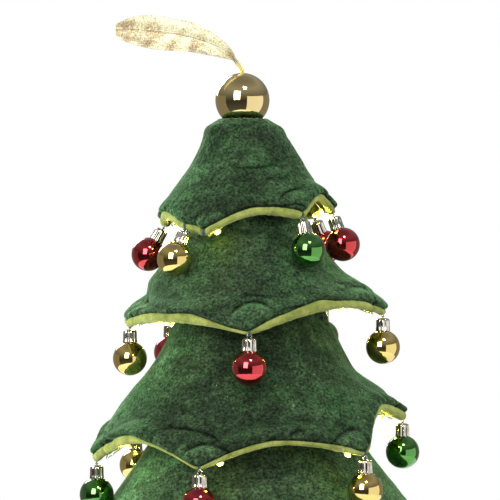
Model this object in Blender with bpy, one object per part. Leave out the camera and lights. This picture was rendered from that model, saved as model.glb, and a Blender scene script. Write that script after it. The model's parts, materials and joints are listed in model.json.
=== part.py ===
"""A plush Christmas tree: four velvet tiers over a stuffed core, lined hems with
fairy lights inside them, mirror baubles hung from the hem tips, a mirror ball
with a ribbon loop on top, and a battery box in the foot of the trunk.

Metres, +Z up. The origin is the centre of the trunk's underside, the front
faces -Y. Angles round the tree are degrees from the front, positive to the right.
"""

import math

import bmesh
import bpy
from mathutils import Matrix, Vector
from mathutils.bvhtree import BVHTree

# General fits
GAP = 0.0003  # between pieces that touch
EASE = 0.0013  # stuffing stays this much further inside the velvet
PX = 0.000738  # size of one step of the ribbon's outline
LEAN_SHARE = -0.0395  # the tree's axis drifts this much sideways with height

# Trunk and its foot
TRUNK_R = 0.050
TRUNK_H = 0.092
TRUNK_WALL = 0.0025
FOOT_T = 0.003

# Velvet tiers, numbered from the top
TOP_Z_1, TOP_Z_2, TOP_Z_3, TOP_Z_4 = 0.4062, 0.358, 0.293, 0.216
NECK_R_1, NECK_R_2, NECK_R_3, NECK_R_4 = 0.0190, 0.033, 0.040, 0.048
HEM_Z_1, HEM_Z_2, HEM_Z_3, HEM_Z_4 = 0.3462, 0.2690, 0.1940, 0.072
SCALLOP_1, SCALLOP_2, SCALLOP_3, SCALLOP_4 = 0.0196, 0.0183, 0.0396, 0.020
TIP_R_1, TIP_R_2, TIP_R_3, TIP_R_4 = 0.065, 0.0967, 0.118, 0.149
ARCH_OUT = 0.0015  # how far the hem's arches stand out from the cone
VELVET_T = 0.0036
SCALLOP_POWER = 1.7
FLARE_LOW_SHARE, FLARE_HIGH_SHARE = 0.66, 0.82  # where a hem leaves the cone
LIP_H = 0.012  # the cloth stands upright at its edge and leans in over this height
STEP_DEG = 11.0

# Hem lining
LINING_T = 0.0016
LINING_GAP = 0.00045
BEAD_H = 0.0052
BEAD_W = 0.0062
BEAD_INSET = 0.0008

# Ball on the top and its ribbon
TOP_BALL_R = 0.020
TOP_BALL_WALL = 0.001
TOP_BALL_HOLE_R = 0.0011
TOP_BALL_SINK = 0.0056
SEAT_R = TOP_BALL_R + 3 * GAP
RIBBON_T = 0.0005
RIBBON_PLY_Y = 0.0036
RIBBON_ROOT_R = 0.0014
RIBBON_ROOT_GAP = 0.0002

# Baubles
BAUBLE_R = 0.0125
BAUBLE_DROP = 0.0230  # hem to the ball's centre
# The bead's lower outer corner, where the thread hangs, as shares of its size
HANG_IN_SHARE, HANG_UP_SHARE = 0.25, 0.12
CAP_R = 0.0052
CAP_H = 0.0076
CAP_SINK = 0.0012
RING_R = 0.0019
RING_WIRE_R = 0.0006
THREAD_R = 0.0008
THREAD_END_R = 0.0003
THREAD_GAP = 0.0005
BAUBLE_CLEAR = 0.0004

# Light string
WIRE_R = 0.0004
LED_R = 0.0015
LED_LENGTH = 0.0052
WIRE_HOLE_R = 0.0012
WIRE_TURN_DEG = 4.0

# Battery box in the foot
CELL_R = 0.010
CELL_T = 0.0032
CELL_SPACING = 0.0214
BOX_SIDE_GAP = 0.0026  # from the box's back corners to the trunk's wall
BOX_WALL = 0.0015
BOX_CLEAR = 0.0006
SWITCH_BAY_W = 0.0085
SWITCH_BAY_H = 0.0026
SLIDER_LENGTH = 0.008
SLIDER_KNOB = 0.0034
SLIDER_TRAVEL = 0.003
SLOT_CLEAR = 0.0006
COVER_T = 0.002
COVER_LIFT = 0.0006
COVER_CLEAR = 0.0005
OVERRUN = 0.004  # how far a cutter passes the faces it cuts

# Each tier's outline: share of the way down, share of the way from neck to hem
PROFILE_1_SHARES = (
    (0, 0), (0.02, 0.06), (0.06, 0.12), (0.12, 0.20), (0.23, 0.29), (0.38, 0.415),
    (0.45, 0.485), (0.59, 0.67), (0.74, 0.86), (0.87, 0.965), (1, 1),
)
PROFILE_2_SHARES = (
    (0, 0), (0.173, 0.12), (0.347, 0.25), (0.54, 0.48), (0.617, 0.58),
    (0.704, 0.70), (0.80, 0.84), (0.877, 0.96), (1, 1),
)
PROFILE_3_SHARES = (
    (0, 0), (0.24, 0.19), (0.37, 0.31), (0.48, 0.41), (0.60, 0.56),
    (0.72, 0.71), (0.81, 0.84), (0.90, 0.97), (1, 1),
)
PROFILE_4_SHARES = (
    (0, 0), (0.18, 0.17), (0.35, 0.36), (0.45, 0.48), (0.55, 0.60),
    (0.72, 0.76), (0.86, 0.90), (0.94, 0.98), (1, 1),
)

# Hem tips: angle, share of the scallop's depth, share of the tip radius, ball
TIPS_1_SHARES = (
    (-97, 1.00, 1.00, "red"), (-43, 1.13, 1.05, "gold"), (-29, 1.40, 1.04, None),
    (36.5, 0.735, 1.06, "green"), (86, 0.53, 1.01, "red"), (125, 0.67, 1.00, "red"),
    (195, 0.98, 1.00, None),
)
TIPS_2_SHARES = (
    (-85, 0.86, 0.95, "gold"), (-1, 1.00, 1.00, "red"), (85, 0.40, 1.03, "gold"),
    (144, 0.16, 1.00, "green"), (223, 0.80, 0.97, "red"),
)
TIPS_3_SHARES = (
    (-82, 1.00, 1.02, "green"), (-20, 0.914, 1.00, "red"), (41, 0.72, 1.00, "gold"),
    (98, 0.29, 0.96, "green"), (158, 0.523, 0.98, "red"), (233, 0.672, 1.00, "gold"),
)
TIPS_4_SHARES = (
    (-70, 1.00, 1.00, "red"), (-8, 0.95, 1.00, "gold"), (55, 0.90, 1.00, "green"),
    (115, 0.86, 1.00, "red"), (175, 0.90, 1.00, None), (230, 1.00, 1.00, "gold"),
)

# Hem arches, each after the tip of the same number: angle, share of the depth
ARCHES_1_SHARES = (
    (-71, 0.72), (-36, 1.22), (11, 0.55), (68, 0.00), (106, 0.42),
    (160, 0.52), (230, 0.67),
)
ARCHES_2_SHARES = ((-36, 0.53), (49, 0.00), (115, 0.00), (183, 0.04), (249, 0.38))
ARCHES_3_SHARES = (
    (-48, 0.508), (11, 0.465), (70, 0.00), (128, 0.10), (193, 0.25), (256, 0.60),
)
ARCHES_4_SHARES = (
    (-38, 0.10), (24, 0.05), (85, 0.00), (145, 0.00), (202, 0.05), (262, 0.10),
)

# Angles of the light drops along each hem
LIGHTS_1 = (204, 248, 291, 337, 441, 472, 514)
LIGHTS_2 = (223, 265, 316, 411, 455, 497, 532)
LIGHTS_3 = (203, 235, 266, 299, 345.5, 395.5, 433, 465, 508)
LIGHTS_4 = (206, 246, 286, 326, 366, 406, 446, 486, 526)

# Height levels of the lofted walls, as shares from the top to the roof and on
# from the roof to the velvet's edge
BODY_1_SHARES = (0.03, 0.15, 0.42, 0.72)
BODY_SHARES = (0, 0.34, 0.68)
FLAP_SHARES = (0.35, 0.70)
PUFF_SHARE = 0.9

# Ribbon loop: across, upper edge and lower edge, in picture steps
RIBBON_PX = (
    (234, 54, 58), (229, 47, 59), (220, 39, 57.5), (207, 30.3, 55.2), (191, 23, 51.8),
    (175, 18, 50.7), (159.4, 15.2, 49.7), (143.5, 15.8, 47.8), (127, 19.8, 43.5),
    (116, 24.7, 37.5),
)
RIBBON_STEM_PX = ((233, 56), (238, 62), (242, 71))
PICTURE_AXIS_PX, PICTURE_FOOT_PX = 260, 670.5


def clear_scene():
    for old in list(bpy.data.objects):
        bpy.data.objects.remove(old, do_unlink=True)


def material(name, colour, roughness, metallic=0.0, glow=0.0):
    """A plain surface with the piece's colour."""
    made = bpy.data.materials.new(name)
    made.use_nodes = True
    surface = made.node_tree.nodes["Principled BSDF"]
    surface.inputs["Base Color"].default_value = (*colour, 1)
    surface.inputs["Roughness"].default_value = roughness
    surface.inputs["Metallic"].default_value = metallic
    if glow:
        surface.inputs["Emission Color"].default_value = (*colour, 1)
        surface.inputs["Emission Strength"].default_value = glow
    return made


def lean(z):
    """Sideways drift of the tree's axis at a height."""
    return LEAN_SHARE * max(z - TRUNK_H, 0)


def polar(radius, degrees, z):
    """A point round the leaning axis."""
    turn = math.radians(degrees)
    return Vector((radius * math.sin(turn) + lean(z), -radius * math.cos(turn), z))


def finish(name, mesh, surface, matrix=None):
    """Put a mesh in the scene as a named piece."""
    mesh.materials.clear()
    mesh.materials.append(surface)
    piece = bpy.data.objects.new(name, mesh)
    bpy.context.collection.objects.link(piece)
    if matrix is not None:
        piece.matrix_world = matrix
    mesh.shade_smooth()
    mesh.set_sharp_from_angle(angle=math.radians(50))
    return piece


def loft_mesh(name, rings, loop=False):
    """Skin rings of equal count. A ring of one point is a pole, and in a loop
    the last ring joins the first. Each quad is split from its upper row's
    corner to the lower row's next one, so parallel walls split alike."""
    bm = bmesh.new()
    rows = [[bm.verts.new(point) for point in ring] for ring in rings]
    pairs = list(zip(rows, rows[1:]))
    if loop:
        pairs.append((rows[-1], rows[0]))
    for a, b in pairs:
        if len(a) < len(b):
            a, b = b, a
        count = len(a)
        over = sum(v.co.z for v in a) / len(a) >= sum(v.co.z for v in b) / len(b)
        for i in range(count):
            j = (i + 1) % count
            if len(b) == 1:
                bm.faces.new((a[i], a[j], b[0]))
            elif over:
                bm.faces.new((a[i], a[j], b[j]))
                bm.faces.new((a[i], b[j], b[i]))
            else:
                bm.faces.new((b[i], a[j], a[i]))
                bm.faces.new((b[i], b[j], a[j]))
    if not loop:
        for end in (rows[0], rows[-1]):
            if len(end) > 1:
                bm.faces.new(end)
    bmesh.ops.recalc_face_normals(bm, faces=bm.faces[:])
    mesh = bpy.data.meshes.new(name)
    bm.to_mesh(mesh)
    bm.free()
    return mesh


def box_mesh(name, low, high):
    """A block between two corners."""
    bm = bmesh.new()
    bmesh.ops.create_cube(bm, size=1)
    size = Vector(high) - Vector(low)
    middle = (Vector(high) + Vector(low)) / 2
    place = Matrix.Translation(middle) @ Matrix.Diagonal((*size, 1))
    bmesh.ops.transform(bm, matrix=place, verts=bm.verts[:])
    mesh = bpy.data.meshes.new(name)
    bm.to_mesh(mesh)
    bm.free()
    return mesh


def turned_mesh(name, profile, sides, start_share=0):
    """Turn (radius, height) points round the upright axis. A zero radius is a pole.
    The first corner stands at a share of one side's turn."""
    rings = []
    for radius, z in profile:
        if radius == 0:
            rings.append([Vector((0, 0, z))])
            continue
        turns = (math.tau * (i + start_share) / sides for i in range(sides))
        rings.append(
            [Vector((radius * math.cos(t), radius * math.sin(t), z)) for t in turns]
        )
    return loft_mesh(name, rings, loop=profile[0][0] > 0 and profile[-1][0] > 0)


def rod_mesh(name, start, end, radius, end_radius, sides):
    """A straight rod or taper between two points."""
    start, end = Vector(start), Vector(end)
    turn = (end - start).to_track_quat("Z", "Y")
    rings = []
    for middle, r in ((start, radius), (end, end_radius)):
        turns = (math.tau * i / sides for i in range(sides))
        rings.append(
            [middle + turn @ Vector((r * math.cos(t), r * math.sin(t), 0)) for t in turns]
        )
    return loft_mesh(name, rings)


def helper(name, mesh):
    """A cutter or an addition, which is no piece of its own."""
    made = bpy.data.objects.new(name, mesh)
    bpy.context.collection.objects.link(made)
    made.hide_render = True
    made.display_type = "WIRE"
    return made


def combine(piece, operation, others):
    for other in others:
        step = piece.modifiers.new(other.name, "BOOLEAN")
        step.operation = operation
        step.object = other


def settled(piece):
    """The piece's mesh with its modifiers applied, to be shared."""
    graph = bpy.context.evaluated_depsgraph_get()
    mesh = bpy.data.meshes.new_from_object(piece.evaluated_get(graph))
    for step in list(piece.modifiers):
        bpy.data.objects.remove(step.object, do_unlink=True)
    bpy.data.objects.remove(piece, do_unlink=True)
    return mesh


class Tier:
    """One tier's size: its outline from neck to hem and the hem's scallops."""

    def __init__(self, number, top_z, neck_r, hem_z, scallop, tip_r):
        self.number, self.top_z, self.neck_r = number, top_z, neck_r
        self.tip_r, self.deep_z = tip_r, hem_z - scallop
        self.tips = globals()[f"TIPS_{number}_SHARES"]
        arches = globals()[f"ARCHES_{number}_SHARES"]
        self.lights = globals()[f"LIGHTS_{number}"]
        self.profile = globals()[f"PROFILE_{number}_SHARES"]
        self.body = BODY_1_SHARES if number == 1 else BODY_SHARES
        knots = [(a, hem_z - d * scallop, tip_r * r, 1) for a, d, r, _ in self.tips]
        for a, d in arches:
            arch_z = hem_z - d * scallop
            knots.append((a, arch_z, self.cone(arch_z) + ARCH_OUT, 0))
        knots.sort()
        self.knots = knots + [(knots[0][0] + 360, *knots[0][1:])]

    def under(self, below_z, below_r, below_wall):
        """Seat the tier's lining on what stands below it."""
        self.core_r = below_r - below_wall - GAP
        self.below_z = below_z
        self.roof_low = below_z + GAP
        self.roof_top = self.roof_low + LINING_T

    def hem(self, degrees):
        """Lowest height and radius of the hem at an angle."""
        first = self.knots[0][0]
        degrees = (degrees - first) % 360 + first
        for low, high in zip(self.knots, self.knots[1:]):
            if low[0] <= degrees <= high[0]:
                break
        arch, tip = (low, high) if high[3] else (high, low)
        along = abs(degrees - arch[0]) / abs(tip[0] - arch[0])
        weight = along**SCALLOP_POWER
        return (
            arch[1] + (tip[1] - arch[1]) * weight,
            arch[2] + (tip[2] - arch[2]) * weight,
        )

    def cone(self, z):
        """Radius of the stuffed body at a height, before its hem flares."""
        down = (self.top_z - z) / (self.top_z - self.deep_z)
        down = min(max(down, 0), 1)
        for (a, p), (b, q) in zip(self.profile, self.profile[1:]):
            if down <= b:
                break
        out = p + (q - p) * (down - a) / (b - a)
        return self.neck_r + (self.tip_r - self.neck_r) * out

    def outer(self, degrees, z):
        """Radius of the velvet's outside at an angle and height: the cone, with its
        hem flared to the tips and a lip that stands upright at its edge."""
        hem_z, hem_r = self.hem(degrees)
        down = (self.top_z - z) / (self.top_z - hem_z)
        flare = (down - FLARE_LOW_SHARE) / (FLARE_HIGH_SHARE - FLARE_LOW_SHARE)
        flare = min(max(flare, 0), 1)
        flare = flare * flare * (3 - 2 * flare)
        lip = min(max(1 - (z - hem_z - BEAD_H) / LIP_H, 0), 1)
        lip = lip * lip * (3 - 2 * lip)
        flared = self.cone(z) + (hem_r - self.cone(hem_z)) * flare
        return flared + (self.cone(hem_z) - self.cone(z)) * lip

    def edge(self, degrees):
        """Height of the velvet's lower edge."""
        return self.hem(degrees)[0] + BEAD_H

    def angles(self):
        found = []
        for low, high in zip(self.knots, self.knots[1:]):
            count = max(2, round((high[0] - low[0]) / STEP_DEG))
            found += [low[0] + (high[0] - low[0]) * i / count for i in range(count)]
        return found

    def level(self, degrees, share):
        """Height of a flap level between the lining's roof and the velvet's edge."""
        return self.roof_top + (self.edge(degrees) - self.roof_top) * share

    def body_z(self, share):
        return self.top_z + (self.roof_top - self.top_z) * share

    def light_path(self, degrees):
        """Where the light wire runs, just inside the bead."""
        hem_z, hem_r = self.hem(degrees)
        radius = hem_r - BEAD_INSET - BEAD_W - LED_R - GAP * 2
        return polar(radius, degrees, hem_z + BEAD_H / 8)


def ball_centre(tier):
    """Centre of the ball that sits in the first tier's dimple."""
    return polar(0, 0, tier.top_z + TOP_BALL_R - TOP_BALL_SINK)


def tier_ring(tier, heights, inset):
    """Ring of points at each angle's height, set in from the outside."""
    return [
        polar(tier.outer(a, z) - inset, a, z) for a, z in zip(tier.angles(), heights)
    ]


def flat_ring(tier, radius, z):
    return [polar(radius, a, z) for a in tier.angles()]


def seat_rings(tier, angles, radius, reach_share=1):
    """The dimple under the ball on top, from its rim ring to its pole."""
    centre = ball_centre(tier)
    rim = math.acos((centre.z - tier.top_z) / SEAT_R) * reach_share
    rings = []
    for bend in (rim, rim / 2):
        out, down = radius * math.sin(bend), radius * math.cos(bend)
        turns = [math.radians(a) for a in angles]
        rings.append(
            [centre + Vector((out * math.sin(t), -out * math.cos(t), -down)) for t in turns]
        )
    return [*rings, [centre - Vector((0, 0, radius))]]


def velvet_tier(tier, surface):
    angles = tier.angles()
    bodies = [[tier.body_z(s)] * len(angles) for s in (*tier.body, 1)]
    flaps = [[tier.level(a, s) for a in angles] for s in (*FLAP_SHARES, 1)]
    puff = [tier.level(a, PUFF_SHARE) for a in angles]
    outside = [tier_ring(tier, z, 0) for z in (*bodies, *flaps[:-1], puff, flaps[-1])]
    inside = [tier_ring(tier, z, VELVET_T) for z in (*bodies, *flaps)]
    if tier.number > 1:
        del inside[1]
        mesh = loft_mesh(f"velvet_tier_{tier.number}", outside + inside[::-1], loop=True)
    else:
        # The first tier is closed over the top and dimpled under the ball
        dimple = seat_rings(tier, angles, SEAT_R)[::-1]
        crown = flat_ring(tier, tier.neck_r, tier.top_z)
        under = seat_rings(tier, angles, SEAT_R + VELVET_T)
        rings = dimple + [crown] + outside + inside[:0:-1] + under
        mesh = loft_mesh("velvet_tier_1", rings)
    return finish(f"velvet_tier_{tier.number}", mesh, surface)


def hem_lining(tier, surface):
    angles = tier.angles()
    set_in = VELVET_T + LINING_GAP
    roof = [tier.roof_top] * len(angles)
    flaps = [[tier.level(a, s) for a in angles] for s in FLAP_SHARES]
    low_edge = [tier.edge(a) - GAP * 1.5 for a in angles]
    hole = tier.core_r + GAP * 2

    def bead(inset, share):
        """Ring on the bead, at a share of its height above its foot."""
        ring = []
        for a in angles:
            z, radius = tier.hem(a)
            ring.append(polar(radius - BEAD_INSET - inset, a, z + BEAD_H * share))
        return ring

    bead_in = (BEAD_W * HANG_IN_SHARE, BEAD_W * 0.62, BEAD_W)
    rings = [
        flat_ring(tier, hole, tier.roof_top),
        tier_ring(tier, roof, set_in),
        *[tier_ring(tier, z, set_in) for z in flaps],
        tier_ring(tier, low_edge, set_in),
        bead(0, 0.66),
        bead(bead_in[0], HANG_UP_SHARE),
        bead(bead_in[1], 0),
        bead(bead_in[2], 0.42),
        tier_ring(tier, [tier.edge(a) + BEAD_H / 8 for a in angles], set_in + LINING_T),
        *[tier_ring(tier, z, set_in + LINING_T) for z in flaps[::-1]],
        tier_ring(tier, [tier.roof_low] * len(angles), set_in + LINING_T),
        flat_ring(tier, hole, tier.roof_low),
    ]
    mesh = loft_mesh(f"hem_lining_{tier.number}", rings, loop=True)
    return finish(f"hem_lining_{tier.number}", mesh, surface)


def stuffed_core(tiers, surface):
    """The stuffing: each tier's body, a neck through each lining, and the trunk's
    filling down to the foot."""
    sides = 26
    angles = [360 * (i + 0.5) / sides for i in range(sides)]
    inset = VELVET_T + GAP + EASE
    rings = seat_rings(tiers[0], angles, SEAT_R + inset, 0.8)[::-1]
    for tier in tiers:
        shares = tier.body[1:] if tier.number == 1 else tier.body
        for share in (*shares, 1):
            z = tier.body_z(share)
            if share == 1:
                z += GAP
            if share == 0:
                radius = [tier.neck_r - VELVET_T - GAP] * sides
            else:
                radius = [tier.cone(z) - inset] * sides
            rings.append([polar(r, a, z) for r, a in zip(radius, angles)])
        rings.append([polar(tier.core_r, a, z) for a in angles])
        if tier is tiers[-1]:
            rings.append([polar(tier.core_r, a, FOOT_T + GAP) for a in angles])
    return finish("stuffed_core", loft_mesh("stuffed_core", rings), surface)


def trunk_cover(surface):
    inner = TRUNK_R - TRUNK_WALL
    profile = (
        (0, 0), (TRUNK_R, 0), (TRUNK_R, TRUNK_H), (inner, TRUNK_H), (inner, FOOT_T),
        (0, FOOT_T),
    )
    mesh = turned_mesh("trunk_cover", profile, 36, start_share=0.5)
    return finish("trunk_cover", mesh, surface)


def top_ball(first, surface):
    """A thin hollow ball with a hole at its foot and one at its crown."""
    low = math.asin(TOP_BALL_HOLE_R / TOP_BALL_R)
    inner_r = TOP_BALL_R - TOP_BALL_WALL
    inner_low = math.asin(TOP_BALL_HOLE_R / inner_r)
    steps, inner_steps = 8, 5
    profile = []
    for i in range(steps + 1):
        turn = low + (math.pi - 2 * low) * i / steps
        profile.append((TOP_BALL_R * math.sin(turn), TOP_BALL_R * math.cos(turn)))
    for i in range(inner_steps + 1):
        turn = inner_low + (math.pi - 2 * inner_low) * (1 - i / inner_steps)
        profile.append((inner_r * math.sin(turn), inner_r * math.cos(turn)))
    place = Matrix.Translation(ball_centre(first))
    return finish("top_ball", turned_mesh("top_ball", profile, 16), surface, place)


def ribbon_hanger(first, surface):
    """A loop of ribbon lying to the left: a front ply and a back ply, joined at
    the far fold and gathered into a stem that stands on the ball."""
    pivot = ball_centre(first) + Vector((0, 0, TOP_BALL_R + RIBBON_ROOT_GAP))
    foot = Vector(((RIBBON_STEM_PX[-1][0] - PICTURE_AXIS_PX) * PX, 0, 0))
    foot.z = (PICTURE_FOOT_PX - RIBBON_STEM_PX[-1][1]) * PX

    def spot(across, down, y):
        """A picture place, measured from the loop's pivot."""
        x = (across - PICTURE_AXIS_PX) * PX - foot.x
        return Vector((x, y, (PICTURE_FOOT_PX - down) * PX - foot.z))

    count = len(RIBBON_PX)
    plies = []
    for side in (-1, 1):
        ply = []
        for i, (across, upper, lower) in enumerate(RIBBON_PX):
            swell = math.sin(math.pi * min(i / (count - 1), 1)) ** 0.7
            y = side * (RIBBON_T * 1.5 + (RIBBON_PLY_Y - RIBBON_T) * swell)
            ply.append((spot(across, upper, y), spot(across, lower, y), side))
        plies.append(ply)
    front, back = plies
    rings = []
    stations = front + back[::-1]
    for i, (upper, lower, side) in enumerate(stations):
        before = stations[max(i - 1, 0)]
        after = stations[min(i + 1, len(stations) - 1)]
        along = (after[0] + after[1]) - (before[0] + before[1])
        outward = along.cross(lower - upper).normalized() * RIBBON_T / 2
        rings.append(
            [upper + outward, lower + outward, lower - outward, upper - outward]
        )
    loop = finish("ribbon_hanger", loft_mesh("ribbon_hanger", rings), surface)
    loop.matrix_world = Matrix.Translation(pivot)
    # The stem overlaps both plies' gathered ends
    joints = [spot(a, d, 0) for a, d in RIBBON_STEM_PX]
    sizes = (RIBBON_ROOT_R * 1.6, RIBBON_ROOT_R, RIBBON_ROOT_R / 2)
    rings = []
    for i, (joint, size) in enumerate(zip(joints, sizes)):
        before, after = joints[max(i - 1, 0)], joints[min(i + 1, len(joints) - 1)]
        turn = (after - before).to_track_quat("Z", "Y")
        turns = (math.tau * k / 8 for k in range(8))
        rings.append(
            [joint + turn @ Vector((size * math.cos(t), size * math.sin(t), 0)) for t in turns]
        )
    stem = helper("ribbon_stem", loft_mesh("ribbon_stem", rings))
    stem.matrix_world = Matrix.Translation(pivot)
    combine(loop, "UNION", [stem])
    return loop


def bauble_meshes():
    """A ball and its cap, both measured from the pivot at the thread's upper end."""
    steps = 6
    ball = [(0, -BAUBLE_DROP - BAUBLE_R)]
    for i in range(1, steps):
        turn = math.pi * (1 - i / steps)
        ball.append((BAUBLE_R * math.sin(turn), BAUBLE_R * math.cos(turn) - BAUBLE_DROP))
    seat_z = -BAUBLE_DROP + BAUBLE_R + GAP
    ball.append((0, -BAUBLE_DROP + BAUBLE_R))
    ball_mesh = turned_mesh("bauble_ball", ball, 12)

    cap_top = seat_z + CAP_H - CAP_SINK
    profile = (
        (0, seat_z), (CAP_R, seat_z), (CAP_R, cap_top - CAP_R * 0.2),
        (CAP_R * 0.8, cap_top), (0, cap_top),
    )
    cap = helper("cap_form", turned_mesh("cap_form", profile, 8))
    ring_z = cap_top + RING_R - RING_WIRE_R * 0.7
    rings = []
    for i in range(7):
        turn = math.tau * i / 7 + math.tau / 5
        out = Vector((math.cos(turn), 0, math.sin(turn)))
        middle = Vector((0, 0, ring_z)) + out * RING_R
        corners = (math.tau * k / 3 for k in range(3))
        rings.append(
            [
                middle + (out * math.cos(c) + Vector((0, 1, 0)) * math.sin(c)) * RING_WIRE_R
                for c in corners
            ]
        )
    ring = helper("cap_ring", loft_mesh("cap_ring", rings, loop=True))
    ring_top = ring_z + RING_R - RING_WIRE_R * 0.45
    thread = helper(
        "cap_thread",
        rod_mesh("cap_thread", (0, 0, ring_top), (0, 0, 0), THREAD_R, THREAD_END_R, 4),
    )
    combine(cap, "UNION", [ring, thread])
    return ball_mesh, settled(cap)


def hang_baubles(tier, below, meshes, surfaces, cap_surface):
    """Hang a bauble at each tip, swung out until it clears the tier below."""
    ball_mesh, cap_mesh = meshes
    wall = None
    if below is not None:
        graph = bpy.context.evaluated_depsgraph_get()
        wall = BVHTree.FromObject(below, graph)
    letters = iter("abcdefgh")
    for degrees, _, _, colour in tier.tips:
        if colour is None:
            continue
        letter = next(letters)
        hem_z, hem_r = tier.hem(degrees)
        foot_r = hem_r - BEAD_INSET - BEAD_W * HANG_IN_SHARE
        pivot = polar(foot_r, degrees, hem_z + BEAD_H * HANG_UP_SHARE - THREAD_GAP)
        swing = 0
        while wall is not None and swing < 60:
            out = math.radians(swing)
            turn = math.radians(degrees)
            away = Vector((math.sin(turn), -math.cos(turn), 0))
            centre = pivot + away * BAUBLE_DROP * math.sin(out)
            centre.z -= BAUBLE_DROP * math.cos(out)
            nearest = wall.find_nearest(centre)[3]
            outside = tier_outside(centre, below)
            if nearest > BAUBLE_R + BAUBLE_CLEAR and outside:
                break
            swing += 1
        # Local +Y faces outward, so that a turn about local X swings the ball out
        face = Matrix.Rotation(math.radians(degrees) + math.pi, 4, "Z")
        place = Matrix.Translation(pivot) @ face @ Matrix.Rotation(math.radians(swing), 4, "X")
        ball = finish(
            f"bauble_ball_{tier.number}{letter}", ball_mesh.copy(), surfaces[colour], place
        )
        ball["swing"] = swing
        cap = finish(f"bauble_cap_{tier.number}{letter}", cap_mesh.copy(), cap_surface, place)
        cap["swing"] = swing


def tier_outside(point, below):
    """Whether a point lies outside the tier below, seen from its axis."""
    axis = Vector((lean(point.z), 0, point.z))
    hit = below.ray_cast(axis, (point - axis).normalized())
    if not hit[0]:
        return True
    reach = (point - axis).length
    farthest = 0
    start = axis
    while hit[0] and farthest < reach * 2:
        farthest = (hit[1] - axis).length
        start = hit[1] + (point - axis).normalized() * GAP
        hit = below.ray_cast(start, (point - axis).normalized())
    return reach > farthest


def light_points(tiers):
    """Centre and thickness of the string, from the battery box up to the top hem."""
    lead = Vector((0, BOX_Y_HIGH - BOX_WALL - SWITCH_BAY_W / 2, BOX_TOP - BOX_WALL - GAP))
    turn_z = TRUNK_H - 3 * OVERRUN
    points = [(lead, 1), (Vector((lead.x, lead.y, turn_z)), 1)]
    points.append((Vector((0, TRUNK_R + 2 * OVERRUN, turn_z)), 1))
    swell = LED_R / WIRE_R
    for tier in tiers[::-1]:
        stops = [(a % 360, 0) for a in tier.angles()]
        stops = [(a if a > 180 else a + 360, 0) for a, _ in stops]
        first, last = 180 + WIRE_TURN_DEG, 540 - WIRE_TURN_DEG
        stops = [s for s in stops if first < s[0] < last]
        stops += [(first, 0), (last, 0)] + [(a, 1) for a in tier.lights]
        stops.sort()
        for i, (degrees, is_led) in enumerate(stops):
            middle = tier.light_path(degrees)
            if not is_led:
                near = [a for a, led in stops if led]
                reach = math.degrees(LED_LENGTH / tier.hem(degrees)[1])
                if any(abs(degrees - a) < reach for a in near):
                    continue
                points.append((middle, 1))
                continue
            along = tier.light_path(degrees + 1) - tier.light_path(degrees - 1)
            along = along.normalized() * LED_LENGTH / 2
            points += [(middle - along, 1), (middle, swell), (middle + along, 1)]
        if tier.number > 1:
            above = tiers[tier.number - 2]
            low, high = riser(tier, above)
            points.append((low, 1))
            points.append((high, 1))
    return points


def riser(tier, above):
    """Ends of the string's climb at the back, from under a tier's lining to the
    inside of the hem above."""
    radius = (above.light_path(180) - polar(0, 0, above.light_path(180).z)).length
    wall = VELVET_T + LINING_GAP + LINING_T + 2 * WIRE_HOLE_R
    radius = min(radius, tier.cone(tier.roof_low) - wall)
    low = polar(radius, 180, tier.roof_low - OVERRUN)
    high = polar(radius, 180, above.light_path(180).z)
    high.z -= OVERRUN / 2
    return low, high


def light_string(tiers, surface):
    points = light_points(tiers)
    curve = bpy.data.curves.new("light_string", "CURVE")
    curve.dimensions = "3D"
    curve.bevel_depth = WIRE_R
    curve.bevel_resolution = 0
    curve.use_fill_caps = True
    line = curve.splines.new("POLY")
    line.points.add(len(points) - 1)
    for point, (place, thickness) in zip(line.points, points):
        point.co = (*place, 1)
        point.radius = thickness
    curve.materials.append(surface)
    piece = bpy.data.objects.new("light_string", curve)
    bpy.context.collection.objects.link(piece)
    return piece


def channel(name, start, end):
    """A cutter along a stretch of the light string."""
    start, end = Vector(start), Vector(end)
    past = (end - start).normalized() * GAP
    mesh = rod_mesh(name, start - past, end + past, WIRE_HOLE_R, WIRE_HOLE_R, 8)
    return helper(name, mesh)


# Battery box places, measured from the foot up
BAY_X = CELL_SPACING + 2 * CELL_R + 2 * BOX_CLEAR
BAY_Y = 2 * CELL_R + 2 * BOX_CLEAR
BOX_X = BAY_X + 2 * BOX_WALL
BOX_REACH = TRUNK_R - TRUNK_WALL - BOX_SIDE_GAP
BOX_Y_HIGH = math.sqrt(BOX_REACH**2 - (BOX_X / 2) ** 2)
BAY_Y_HIGH = BOX_Y_HIGH - 2 * BOX_WALL - SWITCH_BAY_W
BAY_Y_LOW = BAY_Y_HIGH - BAY_Y
BAY_MID_Y = (BAY_Y_LOW + BAY_Y_HIGH) / 2
BOX_Y_LOW = BAY_Y_LOW - BOX_WALL
BOX_FOOT = FOOT_T + GAP
CELL_Z = COVER_LIFT + COVER_T + GAP
BOX_TOP = CELL_Z + CELL_T + GAP + BOX_WALL + SWITCH_BAY_H / 2
SLOT_Y = BAY_Y_HIGH + BOX_WALL + SWITCH_BAY_W / 2


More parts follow.
